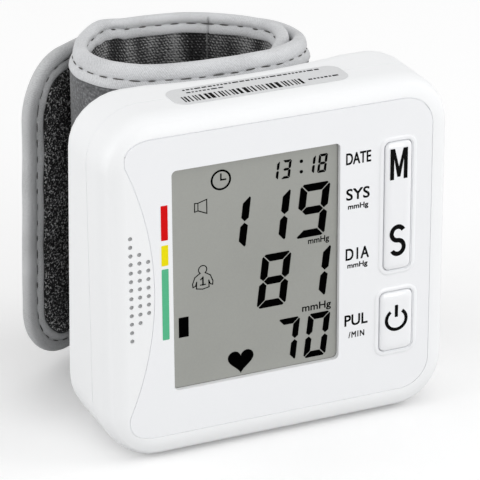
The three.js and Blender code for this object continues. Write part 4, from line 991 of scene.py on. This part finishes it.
# cuff: laid out flat by length and height, then wound
cuff = {  # millimetres and degrees of winding, as in the solids
    "depth": 22.6698, "frontRadius": 85.9, "leftRadius": 16.8, "rightRadius": 14.3, "rearRadius": 33.4,
    "leftReach": 8.2, "rightReach": 4.4, "start": 14.0, "peel": 573.7, "step": (200.0, 300.0), "pitch": 4.0,
    "top": 71.2, "width": 66.0, "core": 1.3, "cloth": 0.6, "half": 1.8, "hem": 3.2, "seam": 151.4,
    "dip": 2.4, "dipTo": 75.0, "drop": 3.0, "dropFrom": 390.0, "hump": 0.8, "humpAt": (213.0, 16.0),  # middle, width
    "sag": 0.28, "sagTo": (180, 200), "rightSag": 0.35, "rightSagAt": (128, 18), "outerSag": 1.0,
    "outerSagAt": (446, 34), "lean": 0.55, "leanFrom": (215, 265), "leanTo": (500, 560), "leanReach": 6.0,
    "leftLean": 0.45, "leftLeanAt": (285, 40), "crumple": 0.55, "crumpleWidth": 22.0,
}
cuffLow = cuff["top"] - cuff["width"]
split = -6.0  # the tail's bending part starts here


def outward(angle):
    return Vector((math.sin(angle), -math.cos(angle)))


def smoothStep(value, low, high):
    share = min(1, max(0, (value - low) / (high - low)))
    return share * share * (3 - 2 * share)


def bell(value, middle, width):
    return math.exp(-((value - middle) / width) ** 2)


def cuffArcs(sizes):
    left, right = math.radians(sizes["leftReach"]), math.radians(sizes["rightReach"])
    front = Vector((0, sizes["depth"] + sizes["frontRadius"]))
    leftCentre = front + outward(-left) * (sizes["frontRadius"] - sizes["leftRadius"])
    rightCentre = front + outward(right) * (sizes["frontRadius"] - sizes["rightRadius"])
    toLeft = sizes["rearRadius"] - sizes["leftRadius"]
    toRight = sizes["rearRadius"] - sizes["rightRadius"]
    span = rightCentre - leftCentre
    along = (toLeft ** 2 - toRight ** 2 + span.length ** 2) / (2 * span.length)
    unit = span.normalized()
    rear = leftCentre + unit * along + Vector((unit.y, -unit.x)) * math.sqrt(toLeft ** 2 - along ** 2)

    def angleTo(point):
        way = point - rear
        return math.atan2(way.x, -way.y) % (2 * math.pi)

    return [(right, front, sizes["frontRadius"]), (angleTo(rightCentre), rightCentre, sizes["rightRadius"]),
            (angleTo(leftCentre), rear, sizes["rearRadius"]),
            (2 * math.pi - left, leftCentre, sizes["leftRadius"]), (2 * math.pi, front, sizes["frontRadius"])]


arcs = cuffArcs(cuff)


def bandPoint(degrees, offset):
    angle = math.radians(degrees)
    turn = angle % (2 * math.pi)
    centre, radius = next((c, r) for end, c, r in arcs if turn <= end + 1e-9)
    step = cuff["pitch"] * (smoothStep(degrees, *cuff["step"]) - 1)
    return centre + outward(angle) * (radius + step + offset)


def rimLevel(degrees):
    dip = cuff["dip"] * (1 - smoothStep(degrees, cuff["start"], cuff["dipTo"]))
    dip -= cuff["hump"] * bell(degrees, *cuff["humpAt"])  # the far rim stands up at its left
    dip += cuff["sag"] * (1 - smoothStep(degrees, *cuff["sagTo"]))
    dip += cuff["rightSag"] * bell(degrees, *cuff["rightSagAt"])
    dip += cuff["outerSag"] * bell(degrees, *cuff["outerSagAt"])
    return -dip - cuff["drop"] * smoothStep(degrees, cuff["dropFrom"], cuff["peel"])


def rimLean(degrees, height):
    lean = cuff["lean"] * smoothStep(degrees, *cuff["leanFrom"]) * (1 - smoothStep(degrees, *cuff["leanTo"]))
    lean += cuff["leftLean"] * bell(degrees, *cuff["leftLeanAt"])  # the outer rim falls in over the wrist hole
    return lean * smoothStep(height, cuff["top"] - cuff["leanReach"], cuff["top"])


def windLengths(perDegree=2):
    count = int((cuff["peel"] - cuff["start"]) * perDegree)  # running length of the middle line by winding angle
    angles = [cuff["start"] + i / perDegree for i in range(count + 1)]
    points = [bandPoint(degrees, 0) for degrees in angles]
    stops = [0.0]
    for here, there in zip(points, points[1:]):
        stops.append(stops[-1] + (there - here).length)
    return angles, [length - stops[-1] for length in stops]  # zero where the tail leaves


windAngles, windStops = windLengths()
cuffLength = -windStops[0]
seamLength = min(zip(windStops, windAngles), key=lambda row: abs(row[1] - cuff["seam"]))[0]


def angleAt(length):
    high = min(len(windStops) - 1, max(1, bisect.bisect_right(windStops, length)))
    share = (length - windStops[high - 1]) / (windStops[high] - windStops[high - 1])
    return windAngles[high - 1] + (windAngles[high] - windAngles[high - 1]) * min(1, max(0, share))


def wrap(length, offset, height):
    degrees = angleAt(min(0, length))  # flat length, thickness and height of the cuff to its wound place
    point = bandPoint(degrees, offset - rimLean(degrees, height))
    if length > 0:
        angle = math.radians(degrees)
        point = point + Vector((math.cos(angle), math.sin(angle))) * length
    return Vector((point.x * mm, faceDepth + point.y * mm, (height + rimLevel(degrees)) * mm))


rippleScale = 0.16


def ripple(length, height, size, seed):
    return size * noise.noise(Vector((length * rippleScale, height * rippleScale, seed)))


clothCrease = 50


def sweepWrap(name, sections, mat):
    verts, uvs = [], []  # sections: length, ring of (extra length, offset, height), run of the weave
    count = len(sections[0][1])
    for length, ring, run in sections:
        around = 0.0
        for i, place in enumerate(ring):
            around += math.dist(ring[i - 1], place) if i else 0
            verts.append(wrap(length + place[0], place[1], place[2]))
            uvs.append((run * mm, around * mm))
    faces = stripFaces(len(sections), count, True)
    faces += [list(range(count)), list(reversed(range(len(verts) - count, len(verts))))]
    piece = addMesh(name, verts, faces, mat, uvs)
    mend(piece.data, cutCaps=True)
    piece.data.set_sharp_from_angle(angle=math.radians(clothCrease))
    return piece


def lengths(start, end, step):
    count = max(2, round((end - start) / step))
    return [start + (end - start) * i / count for i in range(count + 1)]


def bandSpots(sizes):
    spots = lengths(-cuffLength, split, sizes["step"])
    return sorted(spots + [seamLength + away for away in sizes["nearSeam"]])


clothSizes = {
    "rows": 22, "step": 1.2, "nearSeam": (-1.4, -0.7, -0.3, 0, 0.3, 0.7, 1.4), "ripple": 0.14,
    "foldScale": (0.9, 0.12), "outerFull": 0.15, "outerFold": 0.1, "liningFull": -0.15, "liningFold": 0.8,
    "seamDepth": 0.42, "seamWidth": 0.5, "gather": 0.7, "gatherAt": 2.0, "gatherWidth": 1.6,
}


def clothRing(length, near, far, full, fold, pinch, seed):
    ring = []  # the far face shows, a little full between the bindings
    low, high = cuffLow + cuff["hem"], cuff["top"] - cuff["hem"]
    along, up = clothSizes["foldScale"]
    for i in range(clothSizes["rows"] + 1):
        share = i / clothSizes["rows"]
        height = low + (high - low) * share
        swell = full + ripple(length, height, clothSizes["ripple"], seed)
        swell += ripple(length * along, height * up, fold, seed + 3)
        ring.append((0, far + swell * math.sin(math.pi * share) ** 0.5 + pinch, height))
    return ring + [(0, near, high), (0, near, low)]


def addCloth(name, near, far, full, fold, seamDepth, seed, mat):
    sections = []
    for length in bandSpots(clothSizes):
        gather = clothSizes["gather"] * bell(length, seamLength + clothSizes["gatherAt"], clothSizes["gatherWidth"])
        pinch = seamDepth * min(1, bell(length, seamLength, clothSizes["seamWidth"]) + gather)
        sections.append((length, clothRing(length, near, far, full, fold, pinch, seed), length))
    return sweepWrap(name, sections, mat)


outerCloth = addCloth("outerCloth", cuff["core"] - cuff["cloth"], cuff["core"], clothSizes["outerFull"],
                      clothSizes["outerFold"], 0, 3.0, clothFinish)
lining = addCloth("innerLining", cuff["cloth"] - cuff["core"], -cuff["core"], clothSizes["liningFull"],
                  clothSizes["liningFold"], clothSizes["seamDepth"], 8.0, liningFinish)
for piece, slot, node in ((outerCloth, "grey_cloth", "cuff_outer_cloth"),
                          (lining, "lining_cloth", "cuff_inner_cloth")):
    finishPiece(piece, "monitor", slot, node)
print("cuff cloths ready, cut length", round(cuffLength, 1))

outerTape = [  # offset and distance from the rim, from the hem over the stitch groove to the crest
    (1.34, 4.5), (1.6, 4.62), (1.72, 4.42), (1.7, 3.9), (1.56, 3.35), (1.4, 3.05), (1.16, 2.8), (1.3, 2.58),
    (1.38, 2.1), (1.36, 1.4), (1.22, 0.75), (0.95, 0.32), (0.52, 0.07), (0, 0),
]
innerTape = [  # the tape reaches less far down on the wrist side
    (1.34, 3.7), (1.6, 3.8), (1.72, 3.6), (1.7, 3.0), (1.56, 2.45), (1.4, 2.15), (1.16, 1.9), (1.3, 1.68),
    (1.38, 1.35), (1.36, 0.95), (1.22, 0.55), (0.95, 0.26), (0.52, 0.07), (0, 0),
]
tapeSizes = {
    "outerStitch": 2.8, "innerStitch": 1.9, "slot": 1.33, "slotRise": 3.15, "step": 0.7,
    "nearSeam": (-0.5, -0.3, -0.15, 0, 0.15, 0.3, 0.5), "pull": 0.1, "pucker": 0.3, "puckerScale": 6,
    "groove": 0.4, "puff": 0.1, "puffFrom": 0.2, "wave": 0.7, "waveRise": 0.11, "waveRim": 0.12,
    "creaseScale": (0.55, 0.7), "dent": 0.5, "dentWidth": 0.3, "dentRise": (0.2, 1.2),
}
slotFloor = [(-tapeSizes["slot"], tapeSizes["slotRise"]), (tapeSizes["slot"], tapeSizes["slotRise"])]


def tapeSide(profile, run, stitch, seed):
    crumple = cuff["crumple"] * bell(angleAt(min(0, run)), cuff["humpAt"][0], cuff["crumpleWidth"])
    puff = 1 + ripple(run, 9, tapeSizes["puff"], seed + 4)
    gather = ripple(run * tapeSizes["puckerScale"], 3, tapeSizes["pucker"], seed + 2)
    pull = max(0, tapeSizes["pull"] + gather)  # the thread gathers the tape
    along, across = tapeSizes["creaseScale"]
    shaped = []
    for offset, rise in profile:
        full = puff if tapeSizes["puffFrom"] < rise < stitch else 1
        crease = crumple * noise.noise(Vector((run * along, rise * across, seed))) * min(1, rise)
        shaped.append((offset * full - pull * bell(rise, stitch, tapeSizes["groove"]) + crease, rise + crease))
    return shaped


def otherSide(profile):
    return [(-offset, rise) for offset, rise in reversed(profile[:-1])]


def waved(rise, run, seed):
    return rise + ripple(run, 0, tapeSizes["wave"], seed) * (tapeSizes["waveRim"] + tapeSizes["waveRise"] * rise)


def tapeSection(length, sign, edge, seed):
    outside = tapeSide(outerTape, length, tapeSizes["outerStitch"], seed)  # sign: 1 upper rim, -1 lower rim
    inside = otherSide(tapeSide(innerTape, length, tapeSizes["innerStitch"], seed + 11))
    dent = tapeSizes["dent"] * bell(length, seamLength, tapeSizes["dentWidth"])
    inside = [(offset + dent * smoothStep(rise, *tapeSizes["dentRise"]), rise) for offset, rise in inside]
    return [(0, offset, edge - sign * waved(rise, length, seed)) for offset, rise in outside + inside + slotFloor]


rims = (("upper", 1, cuff["top"], 1.0, "cuff_upper_binding"), ("lower", -1, cuffLow, 5.0, "cuff_lower_binding"))
for name, sign, edge, seed, node in rims:
    sections = [(length, tapeSection(length, sign, edge, seed), length) for length in bandSpots(tapeSizes)]
    finishPiece(sweepWrap(name + "Binding", sections, tapeFinish), "monitor", "binding_tape", node)

endTape = {"inset": 1.4, "step": 1.5, "full": 1.04}
seamThread = {"radius": 0.13, "aside": 0.25, "sink": 0.04, "fullShare": 0.6, "step": 1.5, "sides": 6}


def addEndTape(sizes):
    whole = outerTape + otherSide(outerTape) + slotFloor
    sections = []  # closes the band's inner end
    for height in lengths(cuffLow + sizes["inset"], cuff["top"] - sizes["inset"], sizes["step"]):
        ring = [(rise, offset * sizes["full"], height) for offset, rise in whole]
        sections.append((-cuffLength, ring, height))
    finishPiece(sweepWrap("endTape", sections, tapeFinish), "monitor", "binding_tape")


def addLiningSeam(sizes):
    level = clothSizes["seamDepth"] + clothSizes["liningFull"] * sizes["fullShare"] - cuff["core"] - sizes["sink"]
    turns = [2 * math.pi * i / sizes["sides"] for i in range(sizes["sides"])]
    thread = [(sizes["radius"] * math.cos(turn), level + sizes["radius"] * math.sin(turn)) for turn in turns]
    sections = []
    for height in lengths(cuffLow + cuff["hem"], cuff["top"] - cuff["hem"], sizes["step"]):
        ring = [(along, offset, height) for along, offset in thread]
        sections.append((seamLength + sizes["aside"], ring, height))
    finishPiece(sweepWrap("liningSeam", sections, seamFinish), "monitor", "lining_cloth")


addEndTape(endTape)
addLiningSeam(seamThread)
print("cuff bindings ready")

tail = {
    "reach": 21.5, "slant": 2.1, "width": 65.2, "corner": 12.8, "tape": 0.885, "hem": 2.85, "roundShare": 0.95,
    "patchInset": 4.45, "patch": (-1.9, -1.4), "patchStart": 0.6, "patchSpare": 0.4, "rows": 20, "step": 1.0,
    "endReach": 4.0, "endGap": 0.02, "edgeStep": 0.9, "freeStep": 0.03, "turns": 18, "hingeHeight": 37.0, "bend": 4.5,
}
tailTop = cuff["top"]
tailLow = cuff["top"] - tail["width"]
upperCorner = Vector((tail["reach"] - tail["slant"] / 2 - tail["corner"], tailTop - tail["corner"]))
lowerCorner = Vector((tail["reach"] + tail["slant"] / 2 - tail["corner"], tailLow + tail["corner"]))
edgeLean = math.atan2(tail["slant"], upperCorner.y - lowerCorner.y)


def arcRise(over, radius):
    return math.sqrt(max(0, radius ** 2 - max(0, over) ** 2))


def tailLimits(length, inset):
    radius = tail["corner"] - inset  # lower and upper edge of the tail at a length
    spare = (tailLow - cuffLow) * (1 - smoothStep(length, split, 0))
    bottom = lowerCorner.y - spare - arcRise(length - lowerCorner.x, radius)
    reachUp, reachLow = (corner.x + radius * math.cos(edgeLean) for corner in (upperCorner, lowerCorner))
    if length < reachUp:
        return bottom, upperCorner.y + arcRise(length - upperCorner.x, radius)
    if length < reachLow:
        share = (length - reachUp) / (reachLow - reachUp)
        return bottom, upperCorner.y + (lowerCorner.y - upperCorner.y) * share + radius * math.sin(edgeLean)
    return bottom, lowerCorner.y + arcRise(length - lowerCorner.x, radius)


def tailSpots(inset, start):
    right = lowerCorner.x + tail["corner"] - inset - tail["endGap"]
    rounded = [right - tail["endReach"] * (1 - math.sin(math.radians(a))) for a in range(9, 91, 9)]
    return lengths(start, right - tail["endReach"], tail["step"]) + rounded


def tailSections(inset, near, far, start):
    sections = []
    for length in tailSpots(inset, start):
        low, high = tailLimits(length, inset)
        levels = lengths(low, high, (high - low) / tail["rows"])
        ring = [(0, far, height) for height in levels] + [(0, near, height) for height in reversed(levels)]
        sections.append((length, ring, length))
    return sections


def tailEdgePath(inset):
    radius = tail["corner"] - inset  # along the top, round the two corners and back along the bottom
    upper, lower = (lengths(split, corner.x, tail["edgeStep"])[:-1] for corner in (upperCorner, lowerCorner))
    corners = []
    for centre, first, last in ((upperCorner, math.pi / 2, edgeLean), (lowerCorner, edgeLean, -math.pi / 2)):
        angles = [first + (last - first) * i / tail["turns"] for i in range(tail["turns"] + 1)]
        corners.append([centre + Vector((math.cos(angle), math.sin(angle))) * radius for angle in angles])
    above, below = corners[0][-1], corners[1][0]
    free = [above.lerp(below, share) for share in lengths(0, 1, tail["freeStep"])[1:-1]]
    path = [(length, tailLimits(length, inset)[1]) for length in upper]
    path += [tuple(point) for point in corners[0] + free + corners[1]]
    return path + [(length, tailLimits(length, inset)[0]) for length in reversed(lower)]


def inwardAt(path, i):
    before, after = path[max(0, i - 1)], path[min(len(path) - 1, i + 1)]
    along = Vector((after[0] - before[0], after[1] - before[1])).normalized()
    return Vector((along.y, -along.x))


def addTailBinding():
    path = tailEdgePath(0)
    sections = []
    run = 0.0
    for i, (length, height) in enumerate(path):
        inward = inwardAt(path, i)
        run += math.dist(path[i - 1], path[i]) if i else 0
        outside, inside = (tapeSide(outerTape, run, tapeSizes["outerStitch"], seed) for seed in (6.0, 17.0))
        ring = []
        for offset, rise in outside + otherSide(inside) + slotFloor:
            away = waved(rise, run, 6.0) * tail["tape"]
            ring.append((inward.x * away, offset, height + inward.y * away))
        sections.append((length, ring, run))
    return sweepWrap("tailBinding", sections, shadedTailTapeFinish)


tailCloth = sweepWrap("tailCloth", tailSections(tail["hem"], -cuff["core"], cuff["core"], split), clothFinish)
hookPatch = sweepWrap("hookPatch", tailSections(tail["patchInset"], *tail["patch"], tail["patchStart"]), hookFinish)
tailBinding = addTailBinding()
hinge = wrap(0, cuff["half"], tail["hingeHeight"])
tailWay = (wrap(10, 0, tail["hingeHeight"]) - wrap(0, 0, tail["hingeHeight"])).normalized()


def bendPiece(piece, slot, *replaced):
    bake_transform(piece)
    if replaced:
        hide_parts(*replaced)


bendPiece(tailCloth, "grey_cloth", "tail_cloth")
bendPiece(tailBinding, "binding_tape", "tail_binding")
finishPiece(hookPatch, "cuff_tail", "hook_pile", "tail_hook_patch")
print("tail ready")


def randomShare(tree, low, high, seed):
    made = addNode(tree, "FunctionNodeRandomValue", {"Seed": seed}, data_type="FLOAT")
    for label, value in (("Min", low), ("Max", high)):
        next(s for s in made.inputs if s.name == label and s.type == "VALUE").default_value = value
    return next(s for s in made.outputs if s.type == "VALUE")


def layScaled(tree, points, shape, radius, length, share, mat):
    height = addNode(tree, "ShaderNodeMath", {0: length, 1: share}, operation="MULTIPLY").outputs[0]
    size = addNode(tree, "ShaderNodeCombineXYZ", {"X": radius, "Y": radius, "Z": height})
    lay = addNode(tree, "GeometryNodeInstanceOnPoints", {
        "Points": points.outputs["Points"], "Rotation": points.outputs["Rotation"],
        "Instance": shape.outputs["Mesh"], "Scale": size.outputs["Vector"]})
    finishTree(tree, lay, mat)


def stitchTree():
    tree, sockets, start = nodeTree("runningStitch", {"Pitch": "Float", "Half length": "Float", "Radius": "Float",
                                                      "Thread": "Material"})
    line = addNode(tree, "GeometryNodeMeshToCurve", {"Mesh": start["Geometry"]})
    spots = {"Curve": line.outputs["Curve"], "Length": start["Pitch"]}
    points = addNode(tree, "GeometryNodeCurveToPoints", spots, mode="LENGTH")
    bead = addNode(tree, "GeometryNodeMeshUVSphere", {"Segments": 6, "Rings": 5, "Radius": 1.0})
    share = randomShare(tree, 0.5, 1.4, 4)
    layScaled(tree, points, bead, start["Radius"], start["Half length"], share, start["Thread"])
    return tree, sockets


def hookTree():
    tree, sockets, start = nodeTree("hookField", {"Density": "Float", "Height": "Float", "Radius": "Float",
                                                  "Bristle": "Material"})
    spots = {"Mesh": start["Geometry"], "Density": start["Density"], "Seed": 12}
    points = addNode(tree, "GeometryNodeDistributePointsOnFaces", spots, distribute_method="RANDOM")
    cone = {"Vertices": 5, "Radius Top": 0.35, "Radius Bottom": 1.0, "Depth": 1.0}
    hook = addNode(tree, "GeometryNodeMeshCone", cone)
    share = randomShare(tree, 0.5, 1.0, 9)
    layScaled(tree, points, hook, start["Radius"], start["Height"], share, start["Bristle"])
    return tree, sockets


stitchSizes = {"Pitch": 0.0033, "Half length": 0.001, "Radius": 0.00013, "Thread": threadFinish}
stitchLine = {"offset": 1.2, "inset": 1.0, "step": 0.8}
stitches, stitchSockets = stitchTree()


def addStitches(name, line):
    edges = [(i, i + 1) for i in range(len(line) - 1)]
    return growNodes(name, line, edges, [], stitches, stitchSockets, stitchSizes)


stitchSides = (("Outer", stitchLine["offset"], "outerStitch"), ("Inner", -stitchLine["offset"], "innerStitch"))
stitchRun = lengths(stitchLine["inset"] - cuffLength, split - stitchLine["inset"], stitchLine["step"])
for rim, sign, edge, seed, node in rims:
    for side, offset, stitch in stitchSides:
        line = [wrap(length, offset, edge - sign * waved(tapeSizes[stitch], length, seed)) for length in stitchRun]
        finishPiece(addStitches(rim + side + "Stitches", line), "monitor", "binding_tape")
tailPath = tailEdgePath(tapeSizes["outerStitch"] * tail["tape"])
for side, offset, stitch in stitchSides:
    line = [wrap(length, offset, height) for length, height in tailPath]
    bendPiece(addStitches("tail" + side + "Stitches", line), "binding_tape")

hookSizes = {"Density": 1.5e6, "Height": 0.0006, "Radius": 0.00013, "Bristle": hookFinish}
hookBed = {"rows": 12, "inset": 0.3, "start": 1.0}
hooks, hookSockets = hookTree()


def addHooks(sizes):
    inset, rows = tail["patchInset"] + sizes["inset"], sizes["rows"]
    spots = tailSpots(inset, sizes["start"])
    verts = []
    for length in spots:
        low, high = tailLimits(length, inset)
        verts += [wrap(length, tail["patch"][0], height) for height in lengths(low, high, (high - low) / rows)]
    firsts = [i * (rows + 1) + j for i in range(len(spots) - 1) for j in range(rows)]
    faces = [[a, a + 1, a + rows + 2, a + rows + 1] for a in firsts]
    return growNodes("hooks", verts, [], faces, hooks, hookSockets, hookSizes)


finishPiece(addHooks(hookBed), "cuff_tail", "hook_pile")
print("stitches and hooks ready")
